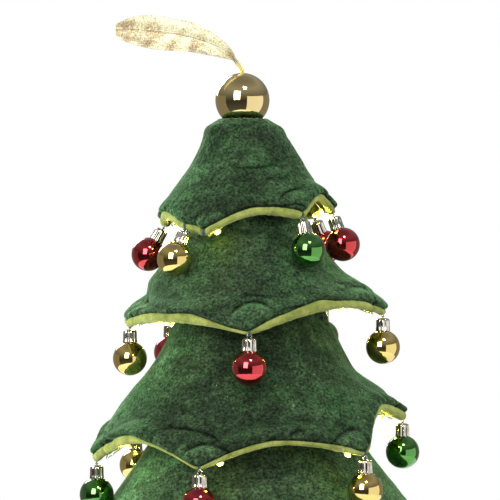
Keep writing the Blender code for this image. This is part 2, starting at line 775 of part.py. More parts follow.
def battery_box(surface):
    """A shallow tray, open below at its cells, with a closed bay for the switch."""
    mesh = box_mesh(
        "battery_case", (-BOX_X / 2, BOX_Y_LOW, BOX_FOOT), (BOX_X / 2, BOX_Y_HIGH, BOX_TOP)
    )
    case = finish("battery_case", mesh, surface)
    bay_roof = CELL_Z + CELL_T + GAP
    cells = box_mesh(
        "cell_bay", (-BAY_X / 2, BAY_Y_LOW, BOX_FOOT - OVERRUN),
        (BAY_X / 2, BAY_Y_HIGH, bay_roof),
    )
    bay_low = BAY_Y_HIGH + BOX_WALL
    switch = box_mesh(
        "switch_bay", (-BAY_X / 2, bay_low, BOX_FOOT + BOX_WALL),
        (BAY_X / 2, bay_low + SWITCH_BAY_W, BOX_FOOT + BOX_WALL + SWITCH_BAY_H),
    )
    half_slot = (SLIDER_KNOB + SLIDER_TRAVEL) / 2 + SLOT_CLEAR
    low = (-half_slot, SLOT_Y - SLIDER_KNOB / 2 - SLOT_CLEAR, -OVERRUN)
    high = (half_slot, SLOT_Y + SLIDER_KNOB / 2 + SLOT_CLEAR, BOX_FOOT + BOX_WALL + GAP)
    slot = box_mesh("switch_slot", low, high)
    cutters = [helper(m.name, m) for m in (cells, switch, slot)]
    combine(case, "DIFFERENCE", cutters)
    return case, cutters[-1]


def box_parts(plastic, metal):
    """The two coin cells, the hinged cover and the switch's slider."""
    cell = turned_mesh(
        "coin_cell",
        (
            (0, 0), (CELL_R * 0.9, 0), (CELL_R, CELL_T * 0.3), (CELL_R, CELL_T), (0, CELL_T),
        ),
        16,
    )
    for number, side in ((1, -1), (2, 1)):
        place = Matrix.Translation((side * CELL_SPACING / 2, BAY_MID_Y, CELL_Z))
        finish(f"coin_cell_{number}", cell.copy(), metal, place)
    # The cover's own frame is its hinge line, along its left edge
    half_x, half_y = BAY_X / 2 - COVER_CLEAR, BAY_Y / 2 - COVER_CLEAR
    hinge = Vector((-half_x + COVER_T / 2, BAY_MID_Y, COVER_LIFT + COVER_T / 2))
    plate = box_mesh(
        "battery_cover", (0, -half_y, -COVER_T / 2), (2 * half_x - COVER_T / 2, half_y, COVER_T / 2)
    )
    cover = finish("battery_cover", plate, plastic, Matrix.Translation(hinge))
    barrel = helper(
        "cover_barrel",
        rod_mesh("cover_barrel", (0, -half_y, 0), (0, half_y, 0), COVER_T / 2, COVER_T / 2, 12),
    )
    barrel.matrix_world = Matrix.Translation(hinge)
    combine(cover, "UNION", [barrel])
    # The slider: a plate in the bay and a knob down through the slot
    rest_x = -SLIDER_TRAVEL / 2
    floor = BOX_FOOT + BOX_WALL + GAP
    plate = box_mesh(
        "switch_slider", (-SLIDER_LENGTH / 2, -SLIDER_KNOB / 2 - BOX_WALL, floor),
        (SLIDER_LENGTH / 2, SLIDER_KNOB / 2 + BOX_WALL, floor + SWITCH_BAY_H / 2),
    )
    knob = box_mesh(
        "slider_knob", (-SLIDER_KNOB / 2, -SLIDER_KNOB / 2, COVER_LIFT),
        (SLIDER_KNOB / 2, SLIDER_KNOB / 2, floor + SWITCH_BAY_H / 4),
    )
    place = Matrix.Translation((rest_x, SLOT_Y, 0))
    slider = finish("switch_slider", plate, plastic, place)
    added = helper("slider_knob", knob)
    added.matrix_world = place
    combine(slider, "UNION", [added])


def foot_openings():
    """Cutter for the cover's opening in the foot."""
    return helper(
        "cover_opening",
        box_mesh(
            "cover_opening", (-BAY_X / 2, BAY_Y_LOW, -OVERRUN),
            (BAY_X / 2, BAY_Y_HIGH, FOOT_T + OVERRUN / 4),
        ),
    )


def build():
    clear_scene()
    velvet = material("velvet_green", (0.02, 0.085, 0.035), 0.85)
    lining = material("lining_green", (0.33, 0.42, 0.12), 0.9)
    stuffing = material("stuffing_white", (0.8, 0.8, 0.78), 0.95)
    bark = material("trunk_brown", (0.16, 0.08, 0.04), 0.9)
    balls = {
        "red": material("ball_red", (0.5, 0.01, 0.01), 0.08, 1),
        "gold": material("ball_gold", (0.8, 0.5, 0.12), 0.08, 1),
        "green": material("ball_green", (0.02, 0.22, 0.06), 0.08, 1),
    }
    top_gold = material("top_ball_gold", (0.8, 0.5, 0.12), 0.06, 1)
    silver = material("cap_silver", (0.75, 0.72, 0.62), 0.3, 1)
    organza = material("ribbon_gold", (0.75, 0.55, 0.22), 0.4, 0.3)
    plastic = material("box_plastic", (0.75, 0.75, 0.73), 0.45)
    metal = material("cell_metal", (0.6, 0.6, 0.6), 0.3, 1)
    glow = material("light_warm", (1.0, 0.72, 0.3), 0.3, 0, 1.0)

    tiers = [
        Tier(1, TOP_Z_1, NECK_R_1, HEM_Z_1, SCALLOP_1, TIP_R_1),
        Tier(2, TOP_Z_2, NECK_R_2, HEM_Z_2, SCALLOP_2, TIP_R_2),
        Tier(3, TOP_Z_3, NECK_R_3, HEM_Z_3, SCALLOP_3, TIP_R_3),
        Tier(4, TOP_Z_4, NECK_R_4, HEM_Z_4, SCALLOP_4, TIP_R_4),
    ]
    for tier, below in zip(tiers, tiers[1:]):
        tier.under(below.top_z, below.neck_r, VELVET_T)
    tiers[-1].under(TRUNK_H, TRUNK_R, TRUNK_WALL)

    shells = [velvet_tier(tier, velvet) for tier in tiers]
    linings = [hem_lining(tier, lining) for tier in tiers]
    core = stuffed_core(tiers, stuffing)
    trunk = trunk_cover(bark)
    top_ball(tiers[0], top_gold)
    ribbon_hanger(tiers[0], organza)

    meshes = bauble_meshes()
    for tier, below in zip(tiers, [*shells[1:], None]):
        hang_baubles(tier, below, meshes, balls, silver)

    case, slot = battery_box(plastic)
    box_parts(plastic, metal)
    combine(trunk, "DIFFERENCE", [foot_openings(), slot])
    pocket = helper(
        "case_pocket",
        box_mesh(
            "case_pocket",
            (-BOX_X / 2 - GAP, BOX_Y_LOW - GAP, BOX_FOOT - OVERRUN),
            (BOX_X / 2 + GAP, BOX_Y_HIGH + GAP, BOX_TOP + GAP),
        ),
    )

    light_string(tiers, glow)
    points = [p for p, _ in light_points(tiers)[:3]]
    upright = channel("lead_channel", points[0] - Vector((0, 0, GAP)), points[1])
    across = channel("lead_exit", points[1] - Vector((0, WIRE_R, 0)), points[2])
    combine(case, "DIFFERENCE", [upright])
    combine(trunk, "DIFFERENCE", [across])
    combine(core, "DIFFERENCE", [pocket, upright, across])
    for tier, above in zip(tiers[1:], tiers):
        low, high = riser(tier, above)
        climb = channel(f"riser_{tier.number}", low, high)
        combine(shells[tier.number - 1], "DIFFERENCE", [climb])
        combine(linings[tier.number - 1], "DIFFERENCE", [climb])
        combine(core, "DIFFERENCE", [climb])


build()
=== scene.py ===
import json
import math

import bmesh
import bpy
import numpy as np
from mathutils import Matrix, Vector, noise


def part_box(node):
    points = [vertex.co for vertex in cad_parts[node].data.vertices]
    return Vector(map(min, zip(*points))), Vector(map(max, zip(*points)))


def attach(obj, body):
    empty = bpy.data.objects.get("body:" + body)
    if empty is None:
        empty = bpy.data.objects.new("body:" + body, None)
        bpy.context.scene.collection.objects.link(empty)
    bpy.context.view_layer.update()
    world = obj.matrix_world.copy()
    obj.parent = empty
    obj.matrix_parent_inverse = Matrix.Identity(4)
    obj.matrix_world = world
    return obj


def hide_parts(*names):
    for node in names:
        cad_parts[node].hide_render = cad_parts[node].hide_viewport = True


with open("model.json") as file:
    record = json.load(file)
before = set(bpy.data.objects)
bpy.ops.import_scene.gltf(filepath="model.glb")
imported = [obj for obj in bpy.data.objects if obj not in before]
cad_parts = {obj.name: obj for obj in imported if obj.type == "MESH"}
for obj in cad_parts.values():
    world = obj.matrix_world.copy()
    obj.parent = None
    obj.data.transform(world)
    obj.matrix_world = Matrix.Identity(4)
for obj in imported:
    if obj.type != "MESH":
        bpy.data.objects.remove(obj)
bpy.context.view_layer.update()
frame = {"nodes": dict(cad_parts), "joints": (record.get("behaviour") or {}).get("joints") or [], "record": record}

bpy.ops.object.select_all(action="DESELECT")


# Camera and studio
# A long lens, level with the second tier and 1.6 m in front of the tree. A pale
# floor disc under it, a white surround, and five lamps round it. Mirror finishes
# also see the dark side of the studio, where the camera stands.
CAMERA_PLACE = Vector((-0.0074, -1.6, 0.310))
PIXEL_M = 0.000738  # one photo pixel at the tree's axis
FRAME_PX = 500
SENSOR_MM = 36


def linked(name, data):
    """A new object, linked to the scene."""
    made = bpy.data.objects.new(name, data)
    bpy.context.scene.collection.objects.link(made)
    return made


camera_data = bpy.data.cameras.new("camera")
camera_data.sensor_width = SENSOR_MM
camera_data.lens = SENSOR_MM * -CAMERA_PLACE.y / (PIXEL_M * FRAME_PX)
camera = linked("camera", camera_data)
camera.location = CAMERA_PLACE
camera.rotation_euler = (math.pi / 2, 0, 0)
bpy.context.scene.camera = camera
bpy.context.scene.view_settings.view_transform = "Standard"


def fill(tree, node, sockets):
    """Fill a node's input sockets, or link them to what another node gives."""
    for key, value in sockets.items():
        if isinstance(value, bpy.types.NodeSocket):
            tree.links.new(value, node.inputs[key])
        else:
            node.inputs[key].default_value = value


def add(tree, kind, sockets=None, **settings):
    """Add a shader node, set it up and fill its sockets."""
    made = tree.nodes.new("ShaderNode" + kind)
    for key, value in settings.items():
        setattr(made, key, value)
    fill(tree, made, sockets or {})
    return made


def maths(tree, operation, *values, **settings):
    """A sum over values or sockets."""
    return add(tree, "Math", dict(enumerate(values)), operation=operation, **settings).outputs[0]


def mottle(tree, vector, scale, detail=2.0, roughness=0.5, distortion=0.0):
    """A cloudy pattern, as a grey value."""
    sockets = {"Vector": vector, "Scale": scale, "Detail": detail}
    return add(tree, "TexNoise", {**sockets, "Roughness": roughness, "Distortion": distortion}).outputs["Fac"]


def stretch(tree, value, to_low, to_high, low=0.0, high=1.0):
    """A value taken from one range to another."""
    sockets = {"Value": value, "From Min": low, "From Max": high, "To Min": to_low, "To Max": to_high}
    return add(tree, "MapRange", sockets).outputs["Result"]


def ramp(tree, factor, *stops):
    """A colour ramp over (position, colour) stops."""
    made = add(tree, "ValToRGB", {"Fac": factor})
    points = made.color_ramp.elements
    while len(points) < len(stops):
        points.new(0.5)
    for point, (position, colour) in zip(points, stops):
        point.position = position
        point.color = (*colour, 1)
    return made.outputs["Color"]


def grey(value):
    return (value, value, value)


def new_material(name):
    """A material with its tree, its Principled shader and its Object coordinates."""
    made = bpy.data.materials.new(name)
    made.use_nodes = True
    tree = made.node_tree
    return made, tree, tree.nodes["Principled BSDF"], add(tree, "TexCoord").outputs["Object"]


def show(tree, shader):
    """Make a shader the one that the material shows."""
    tree.links.new(shader.outputs[0], tree.nodes["Material Output"].inputs["Surface"])


# The world: white where the camera, glass or metal looks, soft light elsewhere
WORLD_LIGHT = 0.62
world = bpy.data.worlds.new("studio_surround")
bpy.context.scene.world = world
world.use_nodes = True
tree = world.node_tree
tree.nodes.clear()
rays = add(tree, "LightPath").outputs
seen = maths(tree, "MAXIMUM", rays["Is Camera Ray"], rays["Is Glossy Ray"])
seen = maths(tree, "MAXIMUM", seen, rays["Is Transmission Ray"])
soft = add(tree, "Background", {"Color": (1, 0.99, 0.97, 1), "Strength": WORLD_LIGHT})
white = add(tree, "Background", {"Color": (1, 1, 1, 1), "Strength": 1.0})
mixed = add(tree, "MixShader", {"Fac": seen, 1: soft.outputs[0], 2: white.outputs[0]})
add(tree, "OutputWorld", {"Surface": mixed.outputs[0]})

# Floor disc, clear from below and open under the trunk, so that the foot shows there
FLOOR_R, FLOOR_HOLE_R = 0.44, 0.048
bpy.ops.mesh.primitive_circle_add(vertices=96, radius=FLOOR_R, fill_type="NGON", location=(0, 0, 0))
bpy.ops.object.mode_set(mode="EDIT")
bpy.ops.mesh.inset(thickness=FLOOR_R - FLOOR_HOLE_R)
bpy.ops.mesh.delete(type="FACE")
bpy.ops.object.mode_set(mode="OBJECT")
floor = bpy.context.object
floor.name = "floor"
material, tree, surface, spot = new_material("pale_floor")
tone = ramp(tree, mottle(tree, spot, 14.0, 4.0), (0.3, grey(0.80)), (0.7, grey(0.86)))
fill(tree, surface, {"Base Color": tone, "Roughness": 0.6})
below = add(tree, "NewGeometry").outputs["Backfacing"]
clear = add(tree, "BsdfTransparent")
show(tree, add(tree, "MixShader", {"Fac": below, 1: surface.outputs[0], 2: clear.outputs[0]}))
floor.data.materials.append(material)
floor.select_set(False)


def studio_lamp(name, place, aim, size, watts):
    """A square-cornered lamp that faces a point."""
    data = bpy.data.lights.new(name, "AREA")
    data.shape, data.size, data.size_y, data.energy = "RECTANGLE", *size, watts
    lamp = linked(name, data)
    lamp.location = place
    lamp.rotation_euler = (Vector(aim) - Vector(place)).to_track_quat("-Z", "Y").to_euler()
    lamp.visible_camera = False
    return lamp


AIM, RIM_AIM = (0, 0, 0.27), (0, 0, 0.2)
studio_lamp("box_left", (-0.62, -1.42, 0.86), AIM, (0.76, 1.05), 17)
right_light = studio_lamp("box_right", (1.35, -0.75, 0.55), AIM, (0.7, 1.1), 16)
right_light.visible_glossy = False
studio_lamp("box_top", (0.21, -0.86, 1.40), AIM, (0.26, 0.26), 6)
studio_lamp("box_back", (-0.7, 1.3, 1.0), AIM, (0.7, 0.7), 9)
rim_light = studio_lamp("box_rim", (-1.4, 0.0, 0.22), RIM_AIM, (0.5, 0.8), 33)
rim_light.visible_glossy = False

# The studio's dark side, which only mirror finishes see. Angles in degrees, to the
# right of the camera and above the level of the tree's middle
ROOM_R, ROOM_Z = 3.0, 0.3
CEILING_FROM, OPEN_BELOW = 15, -62
CAMERA_SIDE, OPEN_SIDE = (-76, 20), (20, 100)
bpy.ops.mesh.primitive_uv_sphere_add(segments=72, ring_count=36, radius=ROOM_R, location=(0, 0, ROOM_Z))
room = bpy.context.object
room.name = "studio_room"
bm = bmesh.new()
bm.from_mesh(room.data)
outside = []
for face in bm.faces:
    away = face.calc_center_median().normalized()
    side, rise = math.degrees(math.atan2(away.x, -away.y)), math.degrees(math.asin(away.z))
    side_wall = rise <= CEILING_FROM and not CAMERA_SIDE[0] < side < CAMERA_SIDE[1]
    face.material_index = int(side_wall)
    if rise < OPEN_BELOW or (side_wall and OPEN_SIDE[0] <= side < OPEN_SIDE[1]):
        outside.append(face)
bmesh.ops.delete(bm, geom=outside, context="FACES")
bm.to_mesh(room.data)
bm.free()
material, tree, surface, spot = new_material("dark_studio")
tree.nodes.remove(surface)
height = stretch(tree, add(tree, "SeparateXYZ", {"Vector": spot}).outputs["Z"], 0.0, 1.0, -ROOM_R, ROOM_R)
tones = ((0.0, 0.12), (0.44, 0.04), (0.5, 0.05), (0.62, 0.13), (0.85, 0.33), (1.0, 0.20))
tone = ramp(tree, height, *((position, grey(value)) for position, value in tones))
show(tree, add(tree, "Emission", {"Color": tone, "Strength": 1.0}))
room.data.materials.append(material)
material, tree, surface, spot = new_material("grey_wall")
tree.nodes.remove(surface)
show(tree, add(tree, "Emission", {"Color": (0.24, 0.22, 0.18, 1), "Strength": 1.0}))
room.data.materials.append(material)
room.visible_camera = room.visible_diffuse = room.visible_shadow = room.visible_transmission = False
room.select_set(False)


# Velvet tiers
# Four skirts of crushed velvet, sewn to a lining at their scalloped hems and
# filled, so that each hem tip swells into a lobe under a curved crease.
LEAN_SHARE, LEAN_FROM_Z = -0.0395, 0.092
VELVET_T = 0.0036
BEAD_H, GAP = 0.0052, 0.0003
SCALLOP_POWER, ARCH_OUT = 1.7, 0.0015
FLARE, LIP_H = (0.66, 0.82), 0.012
TOP_FADE_H, FADE_H = 0.005, 0.02
COLUMNS, OUTER_ROWS, PROFILE_STEPS = 720, 124, 201
DEGREES = np.arange(COLUMNS) * 360 / COLUMNS
LEVELS = np.linspace(0, 1, OUTER_ROWS)
# Each tier's heights and radii, its profile from neck to hem, its hem tips and arches
# (angle from the front, shares of height and radius), the angles of its light drops,
# and the half-width, height, puff and groove of a lobe in mm
TIERS = {
    1: dict(
        top=0.4062, neck=0.0190, hem=0.3462, scallop=0.0196, tip_r=0.065,
        below=(0.358, 0.033), wall=VELVET_T,
        profile=((0, 0), (0.02, 0.06), (0.06, 0.12), (0.12, 0.20), (0.23, 0.29), (0.38, 0.415), (0.45, 0.485),
                 (0.59, 0.67), (0.74, 0.86), (0.87, 0.965), (1, 1)),
        tips=((-97, 1.00, 1.00), (-43, 1.13, 1.05), (-29, 1.40, 1.04), (36.5, 0.735, 1.06), (86, 0.53, 1.01),
              (125, 0.67, 1.00), (195, 0.98, 1.00)),
        arches=((-71, 0.72), (-36, 1.22), (11, 0.55), (68, 0.00), (106, 0.42), (160, 0.52), (230, 0.67)),
        lights=(204, 248, 291, 337, 441, 472, 514),
        lobe=(17, 15, 1.0, 0.8),
    ),
    2: dict(
        top=0.358, neck=0.033, hem=0.2690, scallop=0.0183, tip_r=0.0967,
        below=(0.293, 0.040), wall=VELVET_T,
        profile=((0, 0), (0.173, 0.12), (0.347, 0.25), (0.54, 0.48), (0.617, 0.58), (0.704, 0.70),
                 (0.80, 0.84), (0.877, 0.96), (1, 1)),
        tips=((-85, 0.86, 0.95), (-1, 1.00, 1.00), (85, 0.40, 1.03), (144, 0.16, 1.00), (223, 0.80, 0.97)),
        arches=((-36, 0.53), (49, 0.00), (115, 0.00), (183, 0.04), (249, 0.38)),
        lights=(223, 265, 316, 411, 455, 497, 532),
        lobe=(25, 25, 2.2, 1.7),
    ),
    3: dict(
        top=0.293, neck=0.040, hem=0.1940, scallop=0.0396, tip_r=0.118,
        below=(0.216, 0.048), wall=VELVET_T,
        profile=((0, 0), (0.24, 0.19), (0.37, 0.31), (0.48, 0.41), (0.60, 0.56), (0.72, 0.71), (0.81, 0.84),
                 (0.90, 0.97), (1, 1)),
        tips=((-82, 1.00, 1.02), (-20, 0.914, 1.00), (41, 0.72, 1.00), (98, 0.29, 0.96), (158, 0.523, 0.98),
              (233, 0.672, 1.00)),
        arches=((-48, 0.508), (11, 0.465), (70, 0.00), (128, 0.10), (193, 0.25), (256, 0.60)),
        lights=(203, 235, 266, 299, 345.5, 395.5, 433, 465, 508),
        lobe=(26, 21, 2.2, 1.7),
    ),
    4: dict(
        top=0.216, neck=0.048, hem=0.072, scallop=0.020, tip_r=0.149,
        below=(0.092, 0.050), wall=0.0025,
        profile=((0, 0), (0.18, 0.17), (0.35, 0.36), (0.45, 0.48), (0.55, 0.60), (0.72, 0.76), (0.86, 0.90),
                 (0.94, 0.98), (1, 1)),
        tips=((-70, 1.00, 1.00), (-8, 0.95, 1.00), (55, 0.90, 1.00), (115, 0.86, 1.00), (175, 0.90, 1.00),
              (230, 1.00, 1.00)),
        arches=((-38, 0.10), (24, 0.05), (85, 0.00), (145, 0.00), (202, 0.05), (262, 0.10)),
        lights=(206, 246, 286, 326, 366, 406, 446, 486, 526),
        lobe=(33, 30, 2.6, 1.8),
    ),
}
# How much of the roll shows below the velvet: angle and share of its height
ROLL_FULL = {
    1: ((-97, 1.0), (-71, 1.3), (-46, 1.0), (-38, 1.2), (-30, 1.15), (-15, 1.0), (3, 1.2), (11, 1.05),
        (21, 1.25), (32, 1.25), (39, 1.0), (68, 1.0), (86, 0.9), (180, 1.1)),
    2: ((-85, 0.9), (-50, 1.4), (-38, 1.2), (-27, 1.5), (-19.5, 1.1), (-14, 0.7), (-8, 0.5), (-3, 0.4),
        (2.4, 0.8), (7.6, 1.15), (20, 1.35), (33.6, 1.75), (44, 1.1), (62, 1.15), (80, 0.8), (180, 1.1)),
    3: ((-82, 1.1), (-62, 1.4), (-52, 1.25), (-46.5, 0.6), (-35, 0.45), (-23.5, 0.42), (-17, 0.6), (-9, 0.83),
        (5.5, 0.85), (10.7, 0.7), (25.5, 0.75), (32.5, 0.9), (39, 0.6), (50, 0.8), (70, 1.0), (98, 1.2),
        (180, 1.1)),
    4: ((-70, 1.0), (-20, 1.2), (30, 0.9), (60, 1.25), (180, 1.1)),
}
# Creases, as photo pixels: depth, half-width and puff below the crease in mm
CREASES = {
    1: (
        (((278, 203), (281, 198), (286, 193), (293, 190), (302, 188)), 2.0, 1.1, 1.3),
        (((277, 209), (286, 205), (297, 204), (306, 207)), 1.2, 1.1, 0.5),
        (((222, 151), (238, 155), (255, 153)), 0.5, 1.6, 0.4),
        (((226, 163), (241, 168), (257, 168), (273, 165), (287, 167)), 0.8, 1.8, 0.6),
        (((214, 186), (229, 183), (244, 187)), 0.5, 1.6, 0.4),
        (((262, 181), (275, 178), (288, 179)), 0.6, 1.5, 0.4),
    ),
    2: (
        (((226, 322), (229, 315), (235, 309), (243, 304), (252, 302), (262, 303), (270, 307),
          (277, 313)), 2.6, 1.1, 2.2),
        (((239, 298), (249, 295), (262, 296), (272, 299)), 1.0, 1.2, 0.5),
        (((276, 313), (286, 309), (297, 307), (307, 304)), 1.4, 1.3, 0.7),
        (((338, 292), (345, 288), (354, 287), (363, 289)), 1.9, 1.2, 1.5),
        (((331, 281), (338, 284), (347, 283)), 1.0, 1.2, 0.4),
        (((344, 279), (350, 283), (357, 284)), 0.9, 1.2, 0.4),
        (((137, 301), (146, 305), (158, 308), (172, 309)), 1.4, 1.8, 1.5),
        (((134, 313), (140, 309), (148, 307)), 1.0, 1.2, 0.5),
    ),
    3: (
        (((181, 458), (187, 450), (195, 446), (205, 444), (215, 446), (224, 450), (233, 455),
          (240, 457)), 2.4, 1.1, 2.2),
        (((232, 454), (241, 451), (250, 447), (262, 444), (274, 438), (286, 435)), 1.2, 1.3, 0.5),
        (((152, 433), (163, 429), (175, 428), (188, 429), (200, 432), (212, 436), (222, 444),
          (230, 452)), 1.4, 1.3, 1.2),
        (((287, 438), (291, 434), (298, 431), (308, 431)), 1.3, 1.1, 0.7),
        (((328, 449), (333, 442), (340, 435), (349, 430), (358, 429), (364, 432)), 2.1, 1.1, 1.7),
        (((336, 455), (343, 448), (351, 443), (358, 443)), 1.1, 1.1, 0.5),
        (((104, 437), (112, 441), (122, 440), (132, 435)), 1.3, 1.6, 1.2),
        (((97, 447), (103, 442), (109, 440)), 0.9, 1.2, 0.4),
    ),
    4: (),
}
# How much darker each tier's velvet is made as a whole: above 0 darker, below 0 lighter
TIER_TONE = {1: 0.13, 2: -0.10, 3: 0.12, 4: -0.38}
# Where the filling stands out more: angle, height, reach in degrees and metres, mm
FULLER = {
    1: ((88, 0.377, 50, 0.020, 4.0), (-40, 0.375, 40, 0.020, 0.8), (-90, 0.4003, 80, 0.0058, 2.5),
        (90, 0.4003, 80, 0.0055, 1.5)),
    2: ((84, 0.2825, 34, 0.009, 5.5), (-82, 0.2725, 34, 0.008, -7.0)),
    3: ((-84, 0.199, 46, 0.020, 4.6), (60, 0.212, 40, 0.022, 2.6), (88, 0.2030, 28, 0.009, 4.5),
        (88, 0.2230, 30, 0.009, -1.5)),
    4: ((20, 0.110, 90, 0.030, 2.5), (190, 0.110, 90, 0.030, 2.0)),
}


def lean(z):
    return LEAN_SHARE * np.maximum(np.asarray(z) - LEAN_FROM_Z, 0)


def polar(radius, degrees, z):
    """Points round the leaning axis, from radius, angle and height."""
    turn = np.radians(degrees)
    return np.stack((radius * np.sin(turn) + lean(z), -radius * np.cos(turn), z + 0 * turn), -1)


def away_from(angle, degrees):
    """Signed angles from one angle, between -180 and 180."""
    return (degrees - angle + 180) % 360 - 180


def column_at(angle):
    return int(round((angle % 360) * COLUMNS / 360)) % COLUMNS


def soften(values, spread, wrap):
    """Blur evenly spaced samples by a bell curve."""
    reach = max(int(spread * 3), 1)
    weights = np.exp(-0.5 * (np.arange(-reach, reach + 1) / spread) ** 2)
    weights /= weights.sum()
    if wrap:
        padded = np.concatenate((values[-reach:], values, values[:reach]))
    else:
        low = 2 * values[0] - values[1 : reach + 1][::-1]
        high = 2 * values[-1] - values[-reach - 1 : -1][::-1]
        padded = np.concatenate((low, values, high))
    return np.convolve(padded, weights, "valid")


def eased(share):
    """A share from 0 to 1 with a gentle start and end."""
    return share**2 * (3 - 2 * share)


def outline(tier):
    """The tier's profile from neck to hem, in even samples."""
    down, out = zip(*tier["profile"])
    return soften(np.interp(np.linspace(0, 1, PROFILE_STEPS), down, out), 6, False)


def cone(tier, z):
    """Radius of the filled body at a height, before the hem flares."""
    down = (tier["top"] - z) / (tier["top"] - tier["hem"] + tier["scallop"])
    share = np.interp(down, np.linspace(0, 1, PROFILE_STEPS), tier["outline"])
    return tier["neck"] + (tier["tip_r"] - tier["neck"]) * share


def plain_radius(tier, z, hem_z, hem_r):
    """Radius of the velvet without its swelling."""
    flare = ((tier["top"] - z) / (tier["top"] - hem_z) - FLARE[0]) / (FLARE[1] - FLARE[0])
    lip = np.clip(1 - (z - hem_z - BEAD_H) / LIP_H, 0, 1)
    flared = cone(tier, z) + (hem_r - cone(tier, hem_z)) * eased(np.clip(flare, 0, 1))
    return flared + (cone(tier, hem_z) - cone(tier, z)) * eased(lip)


def hem_line(tier):
    """Height and radius of the hem at every column, rounded at the tips."""
    fine = np.arange(0, 360, 0.25)
    knots = [(a, tier["hem"] - d * tier["scallop"], tier["tip_r"] * r, 1) for a, d, r in tier["tips"]]
    for a, d in tier["arches"]:
        arch_z = tier["hem"] - d * tier["scallop"]
        knots.append((a, arch_z, float(cone(tier, arch_z)) + ARCH_OUT, 0))
    knots.sort()
    knots.append((knots[0][0] + 360, *knots[0][1:]))
    z, radius = np.empty_like(fine), np.empty_like(fine)
    for low, high in zip(knots, knots[1:]):
        span = (fine - low[0]) % 360
        here = span <= high[0] - low[0]
        arch, tip = (low, high) if high[3] else (high, low)
        weight = (np.abs(low[0] + span[here] - arch[0]) / abs(tip[0] - arch[0])) ** SCALLOP_POWER
        z[here] = arch[1] + (tip[1] - arch[1]) * weight
        radius[here] = arch[2] + (tip[2] - arch[2]) * weight
    return tuple(np.interp(DEGREES, fine, soften(values, 5, True), period=360) for values in (z, radius))


def picture_place(pixel, y):
    """The spot that a photo pixel shows, at a depth."""
    scale = PIXEL_M * (y - CAMERA_PLACE.y) / -CAMERA_PLACE.y
    middle = FRAME_PX / 2
    return CAMERA_PLACE.x + (pixel[0] - middle) * scale, y, CAMERA_PLACE.z - (pixel[1] - middle) * scale


def to_column(tier, pixel):
    """Angle and height of a photo pixel on the tier's front."""
    first_depth, first_r, side_most = 0.08, 0.1, 0.98

    def turned(x, radius):
        return math.degrees(math.asin(max(-side_most, min(side_most, x / radius))))

    depth = first_depth
    for _ in range(6):
        x, _, z = picture_place(pixel, -depth)
        x -= float(lean(z))
        degrees = turned(x, first_r)
        for _ in range(8):
            column = column_at(degrees)
            radius = float(plain_radius(tier, z, tier["hem_z"][column], tier["hem_r"][column]))
            degrees = turned(x, radius)
        depth = radius * math.cos(math.radians(degrees))
    return degrees, z


def near_line(points, line):
    """Each point's distance to a line of points, its side (+ above), and how far along it is."""
    best = np.full(points.shape[:-1], 1e9)
    side, along = np.zeros_like(best), np.zeros_like(best)
    total = sum(np.hypot(*(b - a)) for a, b in zip(line, line[1:]))
    gone = 0
    for a, b in zip(line, line[1:]):
        reach = np.hypot(*(b - a))
        way = (b - a) / reach
        offset = points - a
        run = np.clip(offset @ way, 0, reach)
        away = offset - run[..., None] * way
        distance = np.hypot(away[..., 0], away[..., 1])
        nearer = distance < best
        best = np.where(nearer, distance, best)
        turn = way[0] * offset[..., 1] - way[1] * offset[..., 0]
        side = np.where(nearer, np.sign(turn), side)
        along = np.where(nearer, (gone + run) / total, along)
        gone += reach
    return best, side, along


def lobes(number, tier, degrees, z):
    """How the filling lifts each hem tip, and how its stitch draws the cloth in (mm), with painted shade in the
    groove round each lobe and painted light on the lobe.
    """
    wide, high, puff, groove = tier["lobe"]
    out, crush = np.zeros_like(z), np.zeros_like(z)
    for index, (angle, *_) in enumerate(tier["tips"]):
        across = away_from(angle, degrees) * math.pi / 180 * tier["hem_r"][None, :] * 1000
        up = (z - tier["hem_z"][column_at(angle)]) * 1000
        vary = 1 + 0.16 * math.sin(index * 2.1 + number)
        spread = np.sqrt((across / (wide * vary)) ** 2 + (np.maximum(up, 0) / high) ** 2)
        drawn = 0.85 if number == 4 or abs(angle) > 60 else 0.0
        bump = np.clip(1 - spread**2, 0, 1) ** 0.8
        broken = 0.55 + 0.45 * np.sin(across * 0.11 + index * 1.7)
        rim = drawn * broken * np.exp(-(((spread - 1.0) * min(wide, high)) / 1.3) ** 2)
        out += puff * bump - groove * 1.3 * rim
        crush += rim - 0.22 * bump
        # The stitch at the tip draws the cloth in, with small tucks that fan out, and painted shade at the knot
        # and in the tucks
        knot = np.exp(-((across / 2.2) ** 2 + (up / 5.0) ** 2))
        around = np.arctan2(across, np.maximum(up, 0.1) + 1.5)
        near = np.exp(-(((np.hypot(across, up) - 8) / 6) ** 2))
        tucks = np.sin(around * (7 + index % 3) + index * 1.3) * near
        out += 0.42 * tucks - 1.6 * knot
        crush += 0.6 * knot + 0.35 * np.clip(-tucks, 0, 1)
    return out, crush


